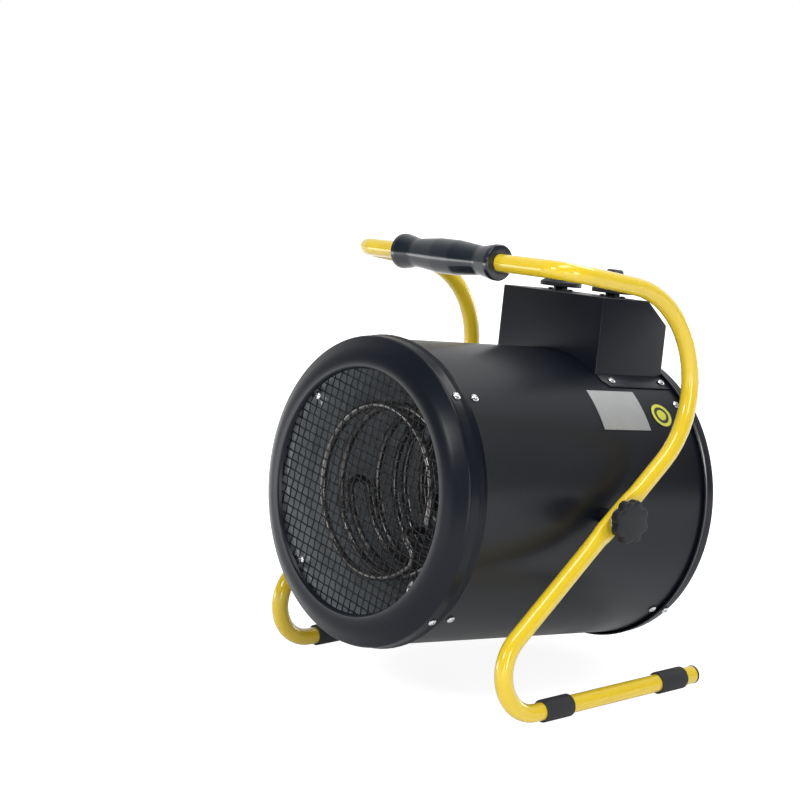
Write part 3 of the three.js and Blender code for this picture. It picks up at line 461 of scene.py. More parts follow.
# %% Profiles and the lathe
def profile(corners, steps):
    """Points of a line whose corners are (radius, place, rounding)."""
    flat = [Vector(c[:2]) for c in corners]
    line = [flat[0]]
    for before, corner, after, spec in zip(flat, flat[1:], flat[2:], corners[1:]):
        rounding = spec[2] if len(spec) > 2 else 0
        if not rounding:
            line.append(corner)
            continue
        back, ahead = (before - corner).normalized(), (after - corner).normalized()
        half = back.angle(ahead) / 2
        centre = corner + (back + ahead).normalized() * rounding / math.sin(half)
        spoke = corner + back * rounding / math.tan(half) - centre
        last = corner + ahead * rounding / math.tan(half) - centre
        sweep = math.copysign(math.pi - 2 * half, spoke.x * last.y - spoke.y * last.x)
        for i in range(steps + 1):
            line.append(centre + Matrix.Rotation(sweep * i / steps, 2) @ spoke)
    return line + [flat[-1]]


def turned(corners, steps=4, wall=0, facets=96):
    """A profile spun about Y: a solid, or sheet whose wall grows inwards.

    A solid whose line stays off the axis is bored, so the line's ends are joined.
    """
    bm = bmesh.new()
    line = profile(corners, steps)
    verts = [bm.verts.new((*p, 0)) for p in line]
    bored = not wall and min(line[0].x, line[-1].x) > 0
    pairs = [*zip(verts, verts[1:]), *([(verts[-1], verts[0])] if bored else [])]
    edges = [bm.edges.new(pair) for pair in pairs]
    bmesh.ops.spin(bm, geom=verts + edges, cent=(0, 0, 0), axis=(0, 1, 0), angle=math.tau,
                   steps=facets, use_merge=True)
    bmesh.ops.remove_doubles(bm, verts=bm.verts, dist=1e-3)
    face_outwards(bm)
    if wall:
        bmesh.ops.solidify(bm, geom=bm.faces[:], thickness=wall)
    return bm


# %% [markdown]
# ## The drum's pressings
# The bezel is one deep pressing: a flange over the casing, a rim with a tight corner, a face that
# closes in like a crowned cone, and a lip turned back into the outlet. Seen from the side all of
# that is one line with a few rounded corners, so `turned` makes it in one go. The line is only the
# outer skin, and `solidify` gives it the sheet's thickness.

# %% Bezel, casing and back ring
CASING = 157
RADIUS = 157.3
bezel = turned([(RADIUS + 3.7, -173), (RADIUS + 1.9, -177.5, 3), (RADIUS + 1.9, -190.2, 4),
                (139.5, -202.9, 33), (126.6, -202.4, 2.6), (124.9, -198.6)], 9, wall=1.8)
finish_piece("bezel_pressing", bezel, "black_paint", "front_bezel", crease=50)
casing = turned([(CASING, -185), (CASING, -166), (CASING + 0.25, -165.2, 0.5), (CASING, -164.4),
                 (CASING, 162)], 3, wall=1)
finish_piece("rolled_casing", casing, "black_paint", "casing_shell")
ring = turned([(RADIUS + 3.6, 151.2), (RADIUS + 1.8, 155.5, 3), (RADIUS + 1.8, 167, 3),
               (148, 167, 1.4), (146, 162.5)], 5, wall=1.6)
finish_piece("back_ring", ring, "black_paint", "rear_ring", crease=50)

# %% [markdown]
# ## The liner
# Behind the guard a galvanised liner leads the air over the coils. It has a wide flat face with
# tabs, whose screws hold the guard, and a rim screwed to the casing. It is turned as well, and the
# light grey metal is what shows between the wires near the edge of the outlet.

# %% Inner duct
DUCT_FACE = -188
QUARTERS = (45, 135, 225, 315)
duct = turned([(155.6, -148.8), (155.6, DUCT_FACE, 1.5), (129, DUCT_FACE, 4), (129, 6)],
              wall=-0.8)
tabs = blocks_round((16, 0.8, 11), (122, DUCT_FACE + 0.5, 0), [-angle for angle in QUARTERS])
finish_piece("air_liner", gather(duct, *tabs), "galvanised_sheet", "inner_duct")

# %% [markdown]
# ## Bending tube
# The stand and the coils are bent tube. A tube bender pushes tube through straight runs and round a
# former. `Bender` does the same with a ring of points: `extrude_edge_only` moves the ring ahead for
# a straight run, and `spin` swings it about the former's axis. Spin can also advance along the axis
# as it turns, which winds a coil.

# %% Bender
class Bender:
    """A tube that is grown from a ring of points by straight runs, bends and coils."""

    def __init__(self, bm, start, heading, radius, sides):
        self.bm, self.place, self.heading = bm, Vector(start), Vector(heading).normalized()
        ring = bmesh.ops.create_circle(bm, cap_ends=False, segments=sides, radius=radius)["verts"]
        turn = self.heading.to_track_quat("Z", "X").to_matrix().to_4x4()
        bmesh.ops.transform(bm, matrix=Matrix.Translation(self.place) @ turn, verts=ring)
        self.first = self.ring = list({e for v in ring for e in v.link_edges})

    def straight(self, length, steps=1):
        for _ in range(steps):
            made = bmesh.ops.extrude_edge_only(self.bm, edges=self.ring)["geom"]
            move = self.heading * length / steps
            move_shape(self.bm, move, only(BMVert, made))
            self.ring = [e for e in only(BMEdge, made) if all(v in made for v in e.verts)]
            self.place += move

    def swing(self, centre, axis, degrees, steps, advance=0.0):
        """Turns the ring about an axis through centre, moving along it by advance in all."""
        axis = Vector(axis).normalized()
        made = bmesh.ops.spin(self.bm, geom=self.ring, cent=centre, axis=axis, steps=steps,
                              angle=math.radians(degrees), dvec=axis * advance / steps)
        self.ring = only(BMEdge, made["geom_last"])
        turn = rotation(degrees, axis, 3)
        self.place = Vector(centre) + turn @ (self.place - Vector(centre)) + axis * advance
        self.heading = turn @ self.heading

    def bend(self, toward, radius, step=7.5):
        """Bends at a radius until the tube heads in a new direction."""
        toward = Vector(toward).normalized()
        axis = self.heading.cross(toward)
        if axis.length < 1e-6:
            return
        centre = self.place + axis.normalized().cross(self.heading) * radius
        angle = math.degrees(self.heading.angle(toward))
        self.swing(centre, axis, angle, max(2, math.ceil(angle / step)))

    def follow(self, corners, radii, steps):
        """Runs past a list of corners, rounding each, to the last point."""
        for i, (corner, radius) in enumerate(zip(corners, radii)):
            ahead = (Vector(corners[i + 1]) - Vector(corner)).normalized()
            cut = radius * math.tan(self.heading.angle(ahead) / 2)
            self.straight((Vector(corner) - self.place).length - cut, steps.get(i, 1))
            self.bend(ahead, radius)
        self.straight((Vector(corners[-1]) - self.place).length, steps.get(len(radii), 1))

    def cap(self):
        """Closes both ends."""
        for ring in (self.first, self.ring):
            bmesh.ops.contextual_create(self.bm, geom=ring)


# %% [markdown]
# ## The stand
# The whole stand is one length of 18.6 mm tube: a foot, a sharp bend up into the leg, the arm, the
# handle bar, and the same again on the other side. Its two halves mirror, so the corner list is
# written once. Where the clamp knob presses, the tube is squeezed flat. The flat is pressed into
# the finished tube by moving its points, further the nearer they are to the knob.

# %% Stand tube
TUBE = 9.3
CLAMP_PLANE = 174.3
LEG = math.radians(36.9)
LEAN = 0.045
HANDLE = (-68.6, 254.8)
FOOT = (115.5, -182)


def on_side(y, z):
    """A point of the right-hand side, which closes in a little with height."""
    return Vector((CLAMP_PLANE - LEAN * (z - max(-17, min(17, z))), y, z))


def along_leg(run):
    return on_side(run * math.cos(LEG), run * math.sin(LEG))


arm_rise = math.tan(math.radians(11.8))
back_y = (HANDLE[1] + HANDLE[0] * arm_rise) / (math.tan(LEG) + arm_rise)
right = [on_side(FOOT[1] / math.tan(LEG), FOOT[1]), along_leg(-28.3), along_leg(28.3),
         on_side(back_y, back_y * math.tan(LEG)), on_side(*HANDLE)]
left = [Vector((-p.x, p.y, p.z)) for p in reversed(right)]
foot_end = on_side(*FOOT)
stand = bmesh.new()
bender = Bender(stand, foot_end, (0, -1, 0), TUBE, 24)
bender.follow([*right, *left, Vector((-foot_end.x, foot_end.y, foot_end.z))],
              [43, 90, 90, 103, 32, 32, 103, 90, 90, 43],
              {0: 3, 1: 8, 2: 12, 3: 8, 5: 4, 7: 8, 8: 12, 9: 8, 10: 3})
print("tube drawn with", len(stand.verts), "points")

# %% The flats under the clamp knobs
PRESS_REACH, PRESS_FADE, HALF_FLAT, SPREAD = 39, 20, 4.5, 0.2
leg_way = Vector((0, math.cos(LEG), math.sin(LEG)))
for vert in stand.verts:
    side = math.copysign(1, vert.co.x)
    run = Vector((0, vert.co.y, vert.co.z)).dot(leg_way)
    off = Vector((0, vert.co.y, vert.co.z)) - leg_way * run
    if abs(run) > PRESS_REACH or off.length > TUBE + 3.7:
        continue
    press = min(1, (PRESS_REACH - abs(run)) / PRESS_FADE)
    press = press * press * (3 - 2 * press)
    across = side * vert.co.x - CLAMP_PLANE
    flat = max(-HALF_FLAT, min(HALF_FLAT, across * 1.2))
    vert.co.x = side * (CLAMP_PLANE + across + (flat - across) * press)
    vert.co += off * SPREAD * press
face_outwards(stand)
bmesh.ops.solidify(stand, geom=stand.faces[:], thickness=1.5)
finish_piece("bent_stand_tube", stand, "yellow_paint", "stand_tube", crease=60, **STAND)

# %% [markdown]
# ## Grip, sleeves and plugs
# The grip is moulded in two halves round the handle bar, thick in the middle, slimmer on both sides
# of the swell and closed by a round collar. Rubber sleeves keep the steel feet off the floor. Both
# are turned on Y and then moved. Two close cuts mark the line where the grip's halves meet.

# %% Handle grip
GRIP_OFF = -10
half = [(9.6, 76), (18.7, 76, 2.2), (18.7, 70, 3), (15.1, 50, 26), (18.4, 14, 60)]
grip = turned([*half, *[(c[0], -c[1], *c[2:]) for c in reversed(half)]], 6)
for seam in (0.25, -0.25):
    slice_shape(grip, (0, 0, seam), (0, 0, 1))
turn_shape(grip, -90, "Z")
move_shape(grip, (GRIP_OFF, *HANDLE))
finish_piece("moulded_grip", grip, "gloss_black_plastic", "handle_grip", crease=45, **STAND)

# %% Foot sleeves and end plugs
SIDES = (("right", 1), ("left", -1))
foot_x = foot_end.x
for side, sign in SIDES:
    for end, y in (("front", -87), ("rear", 80)):
        near, far = y - 19, y + 19
        sleeve = turned([(9.5, near), (11.6, near, 1.2), (11.6, far, 1.2), (9.5, far)], facets=48)
        move_shape(sleeve, (sign * foot_x, 0, FOOT[1]))
        finish_piece(f"rubber_sleeve_{end}_{side}", sleeve, "foot_rubber",
                     f"foot_sleeve_{end}_{side}", **STAND)
    plug = turned([(0, -12), (7, -12, 1), (7, 0.3), (9.7, 0.3, 0.5), (9.7, 3.3, 1.8), (0, 3.3)],
                  facets=48)
    move_shape(plug, (sign * foot_x, *FOOT))
    finish_piece(f"tube_plug_{side}", plug, "foot_rubber", f"tube_end_plug_{side}", **STAND)

# %% [markdown]
# ## Cutting
# Some shapes are easiest to make by taking one solid from another: the box's foot follows the drum,
# screw heads have a cross pressed into them, and nuts have a bore. A Boolean modifier does it
# exactly. `cut_away` applies it to two bmeshes and hands back the result, so no modifier is left on
# a piece.

# %% Cut away one shape from another
def cut_away(bm, tool):
    """What is left of one closed bmesh after another is taken from it."""
    pair = []
    for shape in (bm, tool):
        mesh = bpy.data.meshes.new("shape")
        shape.to_mesh(mesh)
        shape.free()
        pair.append(add_object("shape", mesh))
    step = pair[0].modifiers.new("cut", "BOOLEAN")
    step.object, step.operation, step.solver = pair[1], "DIFFERENCE", "EXACT"
    bpy.context.view_layer.update()
    left = bmesh.new()
    left.from_object(pair[0], bpy.context.evaluated_depsgraph_get())
    for shape in pair:
        bpy.data.objects.remove(shape)
    return left


# %% [markdown]
# ## Clamp knobs
# Each side is held by a moulded star knob on a threaded stud. Its eight lobes come from one disc:
# the rim of a circle is pushed in and out in a wave, and the disc is then extruded in short steps
# that shrink towards the face. Its collar, the stud, the washer and the boss are turned. All are
# drawn up the Y axis and then turned to point out of their side.

# %% Star knobs, washers, studs and bosses
KNOB_RADIUS, LOBES, LOBE_DEPTH = 22, 8, 3.2


def star_knob():
    """A lobed knob about the Y axis with its collar at 180.9 and its face at 199.9."""
    bm = bmesh.new()
    rim = bmesh.ops.create_circle(bm, cap_ends=True, segments=96, radius=1,
                                  matrix=rotation(90, "X"))["verts"]
    for vert in rim:
        wave = 0.5 + 0.5 * math.cos(LOBES * math.atan2(vert.co.z, vert.co.x))
        vert.co *= KNOB_RADIUS - LOBE_DEPTH * wave ** 1.6
    move_shape(bm, (0, 188.4, 0))
    for rise, scale in ((1.2, 1.045), (6.8, 1.0), (2.2, 0.965), (1.0, 0.93), (0.3, 0.9)):
        ring = push_faces(bm, [max(bm.faces, key=lambda f: f.calc_center_median().y)], (0, rise, 0))
        bmesh.ops.scale(bm, vec=(scale, 1, scale), verts=ring)
    face_outwards(bm)
    collar = turned([(4.3, 180.9), (11, 180.9, 0.6), (11, 189), (4.3, 189)], 3, facets=48)
    return gather(bm, collar)


for side, sign in SIDES:
    washer = turned([(4.5, 179.1), (13, 179.1, 0.4), (13, 180.6, 0.4), (4.5, 180.6)], 2, facets=64)
    stud = turned([(0, 145), (3.4, 145), (4, 146.4), (4, 192.9), (0, 192.9)], 2, facets=32)
    boss = turned([(4.5, 156.9), (8, 156.9), (8, 169.8, 0.6), (4.5, 169.8)], 3, facets=48)
    clamp = {"place": on_stand, "body": f"clamp_{side}"}
    for name, shape, slot, node, crease, where in (
            ("star_knob", star_knob(), "black_plastic", "clamp_knob", 40, clamp),
            ("washer", washer, "zinc_steel", "clamp_washer", 32, STAND),
            ("threaded_stud", stud, "zinc_steel", "clamp_stud", 32, clamp),
            ("spacer_boss", boss, "black_paint", "pivot_boss", 32, {})):
        turn_shape(shape, -90 * sign, "Z")
        finish_piece(f"{name}_{side}", shape, slot, f"{node}_{side}", crease, **where)

# %% [markdown]
# ## The woven guard
# The outlet guard is a square wire net. Each wire dips under one crossing wire and over the next,
# and that small wave is what makes it glint unevenly. One wire is a thin ring extruded in short
# steps that rise and fall. The wires are cut to the length of their chord, so that the net ends in
# a circle under the bezel.

# %% Wire nets
def woven_wire(cells, pitch, gauge, wave, phase):
    """One wire along X, centred, that rises and falls once in two cells."""
    def height(step):
        return wave * math.cos(math.pi * step / 2 + phase)

    bm = bmesh.new()
    bmesh.ops.create_circle(bm, cap_ends=True, segments=6, radius=gauge / 2)
    turn_shape(bm, 90, "Y")
    move_shape(bm, (-cells * pitch / 2, height(-cells), 0))
    face = bm.faces[:]
    for step in range(-cells + 1, cells + 1):
        face = only(BMFace, bmesh.ops.extrude_face_region(bm, geom=face)["geom"])
        move_shape(bm, (pitch / 2, height(step) - height(step - 1), 0), face[0].verts)
    return bm


def wire_net(pitch, gauge, reach, plane, twist, wave):
    """A woven square net across the drum's axis, in a circle of a given reach."""
    wires = []
    count = int(reach / pitch)
    for crossing in (0, 1):
        for i in range(-count, count + 1):
            cells = int(math.sqrt(max(0, reach ** 2 - (i * pitch) ** 2)) * 2 / pitch)
            if cells < 2:
                continue
            wire = woven_wire(cells, pitch, gauge, wave, math.pi * (i + crossing))
            place = rotation(90 * crossing + twist, "Y") @ Matrix.Translation((0, 0, i * pitch))
            bmesh.ops.transform(wire, matrix=place, verts=wire.verts)
            wires.append(wire)
    net = gather(*wires)
    face_outwards(net)
    move_shape(net, (0, plane, 0))
    return net


for name, numbers, node in (("outlet_net", (9.4, 1.5, 138.5, -190, 11, 0.7), "front_mesh"),
                            ("back_net", (12, 1.6, 150, 161.2, 0, 0.7), "rear_mesh")):
    finish_piece(name, wire_net(*numbers), "guard_wire", node, crease=70)

# %% [markdown]
# ## Heating coils
# Three sheathed elements are wound one behind another. Each is one tube folded in two: it leaves
# the bracket, turns outwards, winds forward, folds back on itself and winds back beside its own
# first half. `Bender.swing` with an advance winds the turns, and the same bends as in the stand
# make the hooks and the fold.

# %% Heating elements
COIL, LEG_IN, HOOK, FOLD = 88, 52, 12, 24.5
# angle of the fold, its place along the drum, pitch, angles of the two legs
COILS = [(350, -178, 12, 678, 702), (188, -133, 37, 726, 750), (110, -65, 37, 270, 294)]


def around(radius, degrees, y):
    """A point at a distance from the drum's axis and an angle from its right-hand side."""
    angle = math.radians(degrees)
    return Vector((radius * math.cos(angle), y, radius * math.sin(angle)))


def wound_element(fold, start, pitch, near, far):
    """From the back: leg, hook, coil towards the front, fold, coil back, hook and leg."""
    bm = bmesh.new()
    hook = math.degrees(math.asin(HOOK / COIL))
    sweeps = near - fold - hook, far - fold - hook
    front = start + pitch * sweeps[0] / 360
    bender = Bender(bm, around(LEG_IN, near, 7), (0, -1, 0), 4, 12)
    bender.follow([around(LEG_IN, near, front), around(COIL - HOOK, near, front)], [HOOK], {0: 3})
    bender.bend(around(1, near - 90, 0), HOOK, 15)
    bender.swing((0, front, 0), (0, 1, 0), sweeps[0], math.ceil(sweeps[0] / 6),
                 -pitch * sweeps[0] / 360)
    for toward in ((0, 1, 0), -bender.heading):
        bender.bend(toward, FOLD / 2, 15)
    bender.swing((0, bender.place.y, 0), (0, -1, 0), sweeps[1], math.ceil(sweeps[1] / 6),
                 -pitch * sweeps[1] / 360)
    centre = Vector((0, bender.place.y, 0))
    bender.bend(centre - bender.place, HOOK, 15)
    bender.straight((bender.place - centre).length - LEG_IN - HOOK)
    bender.bend((0, 1, 0), HOOK, 15)
    bender.straight(7 - bender.place.y, 3)
    bender.cap()
    face_outwards(bm)
    return bm


for i, numbers in enumerate(COILS):
    coil = wound_element(*numbers)
    finish_piece(f"wound_element_{i + 1}", coil, "element_sheath", f"heating_element_{i + 1}", 60)

# %% [markdown]
# ## Control box
# The box is folded from one sheet: four sides, a top and a sloping back corner, with a flange along
# each side that hugs the drum. It is drawn as its side view, pushed across the drum, and its folds
# get a small radius before the sheet gets its thickness and the drum's roundness is cut from its
# foot.

# %% Control box cover
BOX_HALF, BOX_FRONT, BOX_BACK, BOX_TOP = 77.3, 47.5, 150, 219
SLOPE_TOP, SLOPE_FOOT = 118, 194


def drum_core(radius):
    """A solid round bar along the drum's axis."""
    return turned([(0, -10), (radius, -10), (radius, 190), (0, 190)], facets=192)


cover = bmesh.new()
side_view = [(BOX_FRONT, 100), (BOX_BACK, 100), (BOX_BACK, SLOPE_FOOT), (SLOPE_TOP, BOX_TOP),
             (BOX_FRONT, BOX_TOP)]
face = cover.faces.new([cover.verts.new((-BOX_HALF, y, z)) for y, z in side_view])
push_faces(cover, [face], (2 * BOX_HALF, 0, 0))
face_outwards(cover)
folds = [e for e in cover.edges if all(f.normal.z > -0.9 for f in e.link_faces)]
round_edges(cover, folds, 1.6, 4)
bmesh.ops.delete(cover, geom=[f for f in cover.faces if f.normal.z < -0.9], context="FACES")
face_outwards(cover)
bmesh.ops.solidify(cover, geom=cover.faces[:], thickness=1)
cover = cut_away(cover, drum_core(RADIUS))

# %% The box's flanges
def skin_strip(radius, start, sweep, ends, steps):
    """A strip of the drum's skin, swept about its axis from a line along it."""
    bm = bmesh.new()
    verts = [bm.verts.new(around(radius, start, y)) for y in ends]
    bmesh.ops.spin(bm, geom=[*verts, bm.edges.new(verts)], cent=(0, 0, 0), axis=(0, 1, 0),
                   steps=steps, angle=math.radians(sweep))
    return bm


def thicken(bm, wall):
    """Gives a strip its wall, on the side away from the drum."""
    face_outwards(bm)
    facing = sum(f.normal.dot(f.calc_center_median() * Vector((1, 0, 1))) for f in bm.faces)
    bmesh.ops.solidify(bm, geom=bm.faces[:], thickness=-wall if facing > 0 else wall)
    face_outwards(bm)


def angle_at(x):
    """The angle on the drum's skin that lies this far to the right."""
    return math.degrees(math.acos(x / RADIUS))


fold_angle, rim_angle = angle_at(76.8), angle_at(94.3)
flanges = []
for sign in (1, -1):
    strip = skin_strip(RADIUS, fold_angle, fold_angle - rim_angle,
                       (BOX_FRONT + 0.4, BOX_BACK - 0.4), 8)
    corner = around(RADIUS, rim_angle, 0)
    slice_shape(strip, (corner.x, BOX_FRONT + 8, corner.z), (0.7, -0.72, 0), clear_outer=True)
    thicken(strip, 1)
    rim = [e for e in strip.edges if e.calc_face_angle(0) > 1.0]
    round_edges(strip, rim, 0.25, 2)
    if sign < 0:
        bmesh.ops.scale(strip, vec=(-1, 1, 1), verts=strip.verts)
        bmesh.ops.reverse_faces(strip, faces=strip.faces)
    flanges.append(strip)
box = gather(cover, *flanges)
finish_piece("folded_control_box", box, "black_paint", "control_box_cover", crease=40)

# %% [markdown]
# ## Control knobs
# Each control has a round skirt with a coned top and a finger bar across it. The skirt is turned.
# The bar starts as a block. The two top edges at its ends are rounded generously, and then every
# edge a little.

# %% Pointer knobs
def pointer_knob():
    """A knob that stands on Z, with its bar along X."""
    skirt = turned([(3.3, 0), (23, 0, 0.5), (23, 4.4, 0.8), (17, 8, 1.5), (0, 9.4)], facets=72)
    turn_shape(skirt, 90, "X")
    bar = block((30, 12, 17), (0, 0, 0))
    ends = [e for e in bar.edges if e.verts[0].co.z > 0 and e.verts[1].co.z > 0
            and abs(e.verts[0].co.x - e.verts[1].co.x) < 0.1]
    round_edges(bar, ends, 6.5, 8)
    rim = [e for e in bar.edges if e.calc_face_angle(0) > 1.0 and e.calc_length() > 0.1]
    round_edges(bar, rim, 1.3, 3)
    move_shape(bar, (0, 0, 17.2))
    return gather(skirt, bar)


KNOB_X, KNOB_Y = 40, 99
CONTROLS = (("selector", -KNOB_X, 0, "selector"), ("thermostat", KNOB_X, -30, "thermostat_control"))
for name, x, turned_by, body in CONTROLS:
    knob = pointer_knob()
    turn_shape(knob, turned_by, "Z")
    move_shape(knob, (x, KNOB_Y, BOX_TOP + 4.2))
    finish_piece(f"{name}_pointer_knob", knob, "black_plastic", f"{name}_knob", 40, body=body)

# %% [markdown]
# ## Screws
# The casing is held together by bright pan-head screws with a cross recess. One screw is made with
# care: its head is turned, and the recess is a cross of two blocks cut from it. Every other screw
# is the same shape set down somewhere else, standing on the drum at its own angle.

# %% Screws
def pan_screw(head, height, reach):
    """A screw along Y whose head stands on y = 0.3."""
    body = turned([(0, -reach), (head * 0.42, -reach), (head * 0.42, 0.3), (head, 0.3, 0.2),
                   (head, height * 0.55, 0.6), (head * 0.62, height, 1.2), (0, height)], 3,
                  facets=28)
    wide, slim = head * 1.15, head * 0.26
    for size in ((wide, 2.2, slim), (slim, 2.2, wide)):
        body = cut_away(body, block(size, (0, height, 0)))
    return body


master = bpy.data.meshes.new("screw_shape")
one = pan_screw(4.3, 2.6, 6)
one.to_mesh(master)
one.free()


def set_screw(name, place, spin, node=None, finish=None):
    """Copies the master screw, turned about itself, to a place."""
    bm = bmesh.new()
    bm.from_mesh(master)
    turn_shape(bm, spin, "Y")
    bmesh.ops.transform(bm, matrix=place, verts=bm.verts)
    finish_piece(name, bm, "zinc_steel", node, finish=finish)


def outward(radius, degrees, y):
    """A place on the drum whose Y points outwards."""
    turn = rotation(90 - degrees, "Y") @ rotation(90, "X")
    return Matrix.Translation(around(radius, degrees, y)) @ turn


# %% Rows of screws
FLANGE_SKIN = 159.1
# row, radius, place along the drum, turn from screw to screw, first turn, node
ROWS = [
    ("bezel", FLANGE_SKIN, -181, 37, 0, "bezel_screw"), ("back", CASING, 141, 53, 20, "rear_screw"),
    ("casing", CASING, -155, 71, 10, None), ("ring", FLANGE_SKIN, 160, 17, 30, None),
]
for i, angle in enumerate(QUARTERS):
    for row, radius, y, each, first, node in ROWS:
        set_screw(f"{row}_pan_screw_{i + 1}", outward(radius, angle, y), each * i + first,
                  node and f"{node}_{i + 1}")
    guard_place = Matrix.Translation(around(123.4, angle, -191.2)) @ rotation(180, "X")
    set_screw(f"guard_pan_screw_{i + 1}", guard_place, 29 * i + 5)
flange_angle = angle_at(86.65)
spots = [(angle, y) for y in (62, 139) for angle in (flange_angle, 180 - flange_angle)]
for i, (angle, y) in enumerate(spots):
    set_screw(f"box_pan_screw_{i + 1}", outward(158.3, angle, y), 41 * i + 15, f"box_screw_{i + 1}")

# %% [markdown]
# ## Fan and motor
# Five twisted blades push the air forwards. A blade is a flat grid whose rows are turned about its
# length, more near the hub than at the tip, bowed a little and then thickened. The hub is turned,
# with a rounded nose.

# %% Fan rotor
ROOT, SPAN, HUB_MIDDLE = 21, 117, 41


def fan_blade(turned_by):
    """One blade along X, twisted, bowed and rounded at its tip."""
    bm = bmesh.new()
    bmesh.ops.create_grid(bm, x_segments=14, y_segments=10, size=0.5)
    for vert in bm.verts:
        share = vert.co.x + 0.5
        radius = ROOT + SPAN * share
        chord = (36 + 42 * share) * math.sqrt(1 - 0.55 * max(0, share - 0.75) ** 2 / 0.0625)
        pitch = math.radians(46 - 22 * share)
        bow = 0.09 * chord * (1 - 4 * vert.co.y ** 2)
        across, along = vert.co.y * chord, bow
        angle = (across * math.cos(pitch) - along * math.sin(pitch)) / radius * min(1, radius / 40)
        lift = (across * math.sin(pitch) + along * math.cos(pitch)) * 0.82
        vert.co = (radius * math.cos(angle), HUB_MIDDLE + lift, radius * math.sin(angle))
    face_outwards(bm)
    bmesh.ops.solidify(bm, geom=bm.faces[:], thickness=1.8)
    turn_shape(bm, turned_by, "Y")
    return bm


rotor = [turned([(0, 28), (20, 28, 4), (25, 34, 3), (25, 54, 1), (4.3, 54), (4.3, 38), (0, 38)],
                facets=64), *[fan_blade(72 * i) for i in range(5)]]
for i in range(5):
    rivet = turned([(0, 27), (2, 27, 0.8), (2, 33)], 3, facets=16)
    move_shape(rivet, around(15, 72 * i + 36, 1))
    rotor.append(rivet)
finish_piece("bladed_rotor", gather(*rotor), "fan_alloy", "fan_rotor", 40, body="fan")

# %% Motor
shell = turned([(4.4, 62.5), (11, 62.5, 1.5), (11, 68), (38, 68, 5), (44, 76, 3), (44, 108, 3),
                (36, 115), (36, 124, 1), (0, 124)], facets=72)
fins = blocks_round((3, 26, 2), (45, 92, 0), [30 * i for i in range(12)], 0.6)
ears = blocks_round((14, 10, 12), (40.5, 119, 0), [-angle for angle in QUARTERS], 1.2)
motor = gather(shell, *fins, *ears)
finish_piece("finned_motor", motor, "motor_casting", "motor_body", crease=35)

# %% [markdown]
# ## Cable gland
# The lead would enter through a gland at the back of the box: a hexagon to hold with a spanner and
# a domed nut with fine ribs that squeezes the seal. The hexagon is a circle of six points, extruded
# and bevelled.

# %% Gland
gland = bmesh.new()
bmesh.ops.create_circle(gland, cap_ends=True, segments=6, radius=13.8, matrix=rotation(90, "X"))
move_shape(gland, (0, 150.3, 0))
push_faces(gland, gland.faces[:], (0, 7.2, 0))
face_outwards(gland)
round_edges(gland, gland.edges[:], 0.6, 2)
dome = turned([(5, 150), (9, 150), (9, 157), (12, 157), (12, 165, 1), (9, 170, 2), (5, 170, 1),
               (5, 150)], facets=64)
RIBS, RIB_SHARE = 16, 0.03
for vert in dome.verts:
    if math.hypot(vert.co.x, vert.co.z) > 11.5:
        ribs = 1 + RIB_SHARE * math.cos(RIBS * math.atan2(vert.co.z, vert.co.x))
        vert.co.x, vert.co.z = (c * ribs / (1 + RIB_SHARE) for c in (vert.co.x, vert.co.z))
gland = gather(gland, dome)
move_shape(gland, (47.3, 0, 183))
finish_piece("ribbed_gland", gland, "black_plastic", "cable_gland", crease=40)

# %% [markdown]
# ## Plate and marker
# The casing carries a bare plate of brushed aluminium and a round marker, both wrapped on the drum.
# The plate is a strip spun round the drum's own axis. The marker is a disc of rings, coloured by
# the distance from its centre. Neither has words on it.

# %% Bare plate
plate = skin_strip(157.12, 33, -18, (14, 84), 16)
thicken(plate, 0.35)
aluminium = Finish("brushed_plate", (0.3, 0.31, 0.315), 0.4, 0.4)
streak = aluminium.noise(60, 4, aluminium.place((1, 12, 1)))
aluminium.vary(streak, (0.295, 0.303, 0.307, 1), (0.425, 0.433, 0.437, 1), 0.3, 0.7, 0.34, 0.5)
finish_piece("bare_plate", plate, "zinc_steel", finish=aluminium)

# %% Round marker
MARKER_ANGLE, MARKER_Y, FILM_SKIN = 40, 110, 157.1
marker = bmesh.new()
bmesh.ops.create_circle(marker, cap_ends=True, segments=64, radius=14.6)
for inset in (0.4, 2.2, 2.6, 2.6, 2.6):
    middle = min(marker.faces, key=lambda f: f.calc_center_median().length - f.calc_area())
    bmesh.ops.inset_region(marker, faces=[middle], thickness=inset)
push_faces(marker, marker.faces[:], (0, 0, 0.3))
for vert in marker.verts:
    across, along, lift = vert.co
    turn = math.degrees(across / CASING)
    vert.co = around(FILM_SKIN + lift, MARKER_ANGLE + turn, MARKER_Y + along)
face_outwards(marker)
centre = on_drum @ around(FILM_SKIN, MARKER_ANGLE, MARKER_Y)
YELLOW_FILM, BLACK_FILM = (0.62, 0.62, 0.05, 1), (0.02, 0.02, 0.02, 1)
film = Finish("marker_film", YELLOW_FILM[:3], 0.35)
reach = film.node("VectorMath", {"operation": "DISTANCE"}, {0: film.place(), 1: centre}, output=1)
print_speck = film.noise(700, 2)
rings = film.range(reach, 0.0098, 0.0102) * (1 - film.range(reach, 0.0136, 0.0139))
spot = 1 - film.range(reach, 0.0062, 0.0066)
film.set(Base_Color=film.mix(rings + spot, BLACK_FILM, YELLOW_FILM),
         Roughness=film.range(print_speck, 0.3, 0.7, 0.3, 0.42))
finish_piece("round_marker", marker, "yellow_paint", finish=film)

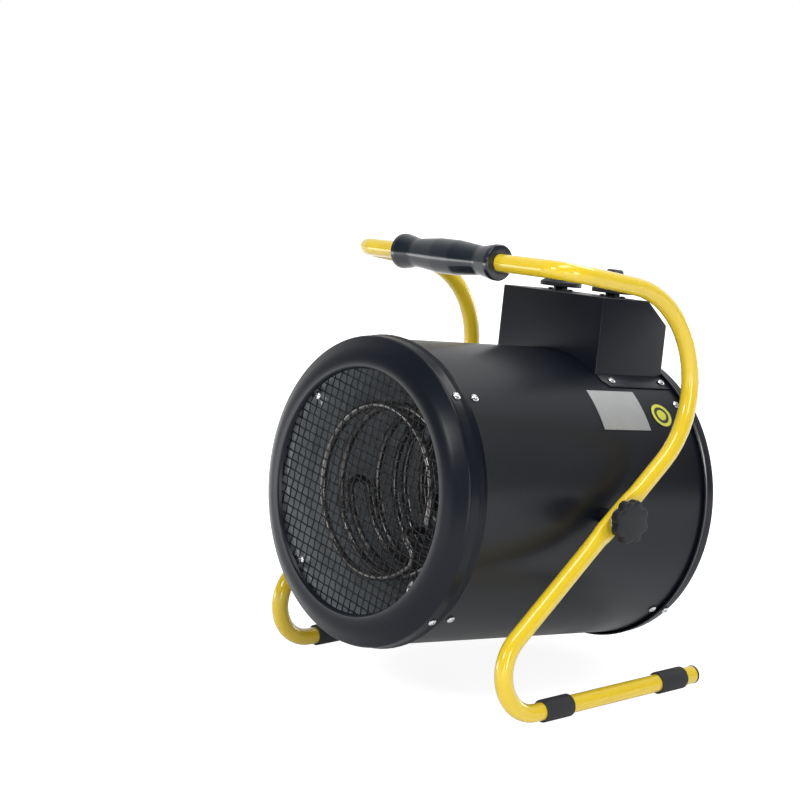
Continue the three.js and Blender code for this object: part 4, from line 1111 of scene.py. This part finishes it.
# %% Screws and nuts under the knobs
def hex_nut():
    """A nut about Z with its chamfered top at 3.4."""
    bm = bmesh.new()
    bmesh.ops.create_circle(bm, cap_ends=True, segments=6, radius=8.1)
    push_faces(bm, bm.faces[:], (0, 0, 3.4))
    face_outwards(bm)
    corners = [e for e in bm.edges if e.verts[0].co.z > 3 and e.verts[1].co.z > 3]
    round_edges(bm, corners, 0.7, 2)
    bore = turned([(0, -1), (5.3, -1), (5.3, 5), (0, 5)], facets=32)
    turn_shape(bore, 90, "X")
    return cut_away(bm, bore)


for name, x, *_ in CONTROLS:
    nut = hex_nut()
    move_shape(nut, (x, KNOB_Y, BOX_TOP + 0.3))
    finish_piece(f"panel_nut_{name}", nut, "black_steel", f"{name}_nut")
    for i, side in enumerate((-15, 15)):
        place = Matrix.Translation((x + side, KNOB_Y, BOX_TOP)) @ rotation(90, "X")
        set_screw(f"{name}_plate_screw_{i + 1}", place @ Matrix.Scale(0.75, 4), 40 * i + x,
                  finish=black_steel)

# %% [markdown]
# ## Ground
# The ground is a plain pale sheet that catches the heater's shadow. A mask made from the distance
# to the heater fades it into the white of the background, so no horizon shows.

# %% Ground sheet
ground_mesh = bmesh.new()
bmesh.ops.create_grid(ground_mesh, x_segments=1, y_segments=1, size=8)
mesh = bpy.data.meshes.new("ground_sheet")
ground_mesh.to_mesh(mesh)
ground_mesh.free()
ground = add_object("ground_sheet", mesh)
paper = Finish("pale_ground", (0.93, 0.93, 0.93), 0.9)
away = paper.node("VectorMath", {"operation": "LENGTH"}, {0: paper.place()}, output=1)
fade = paper.range(away, 0.1, 0.5, 0.58, 1)
dim = paper.range(away, 0.2, 1.2, 0.167, 1)
light_path = paper.node("LightPath").socket.node
kinds = [Signal(paper, light_path.outputs[name])
         for name in ("Is Camera Ray", "Is Glossy Ray", "Is Transmission Ray")]
mirrored = kinds[1].math("MAXIMUM", kinds[1], kinds[2])
watched = kinds[0] * fade + mirrored * dim
glow = paper.node("Emission", None, {"Color": (1, 1, 1, 1), "Strength": 1.5})
sheet_shader = Signal(paper, paper.shader.outputs[0])
mixed = paper.node("MixShader", None, {0: watched, 1: sheet_shader, 2: glow})
paper.tree.links.new(mixed.socket, paper.tree.nodes["Material Output"].inputs["Surface"])
mesh.materials.append(paper.material)
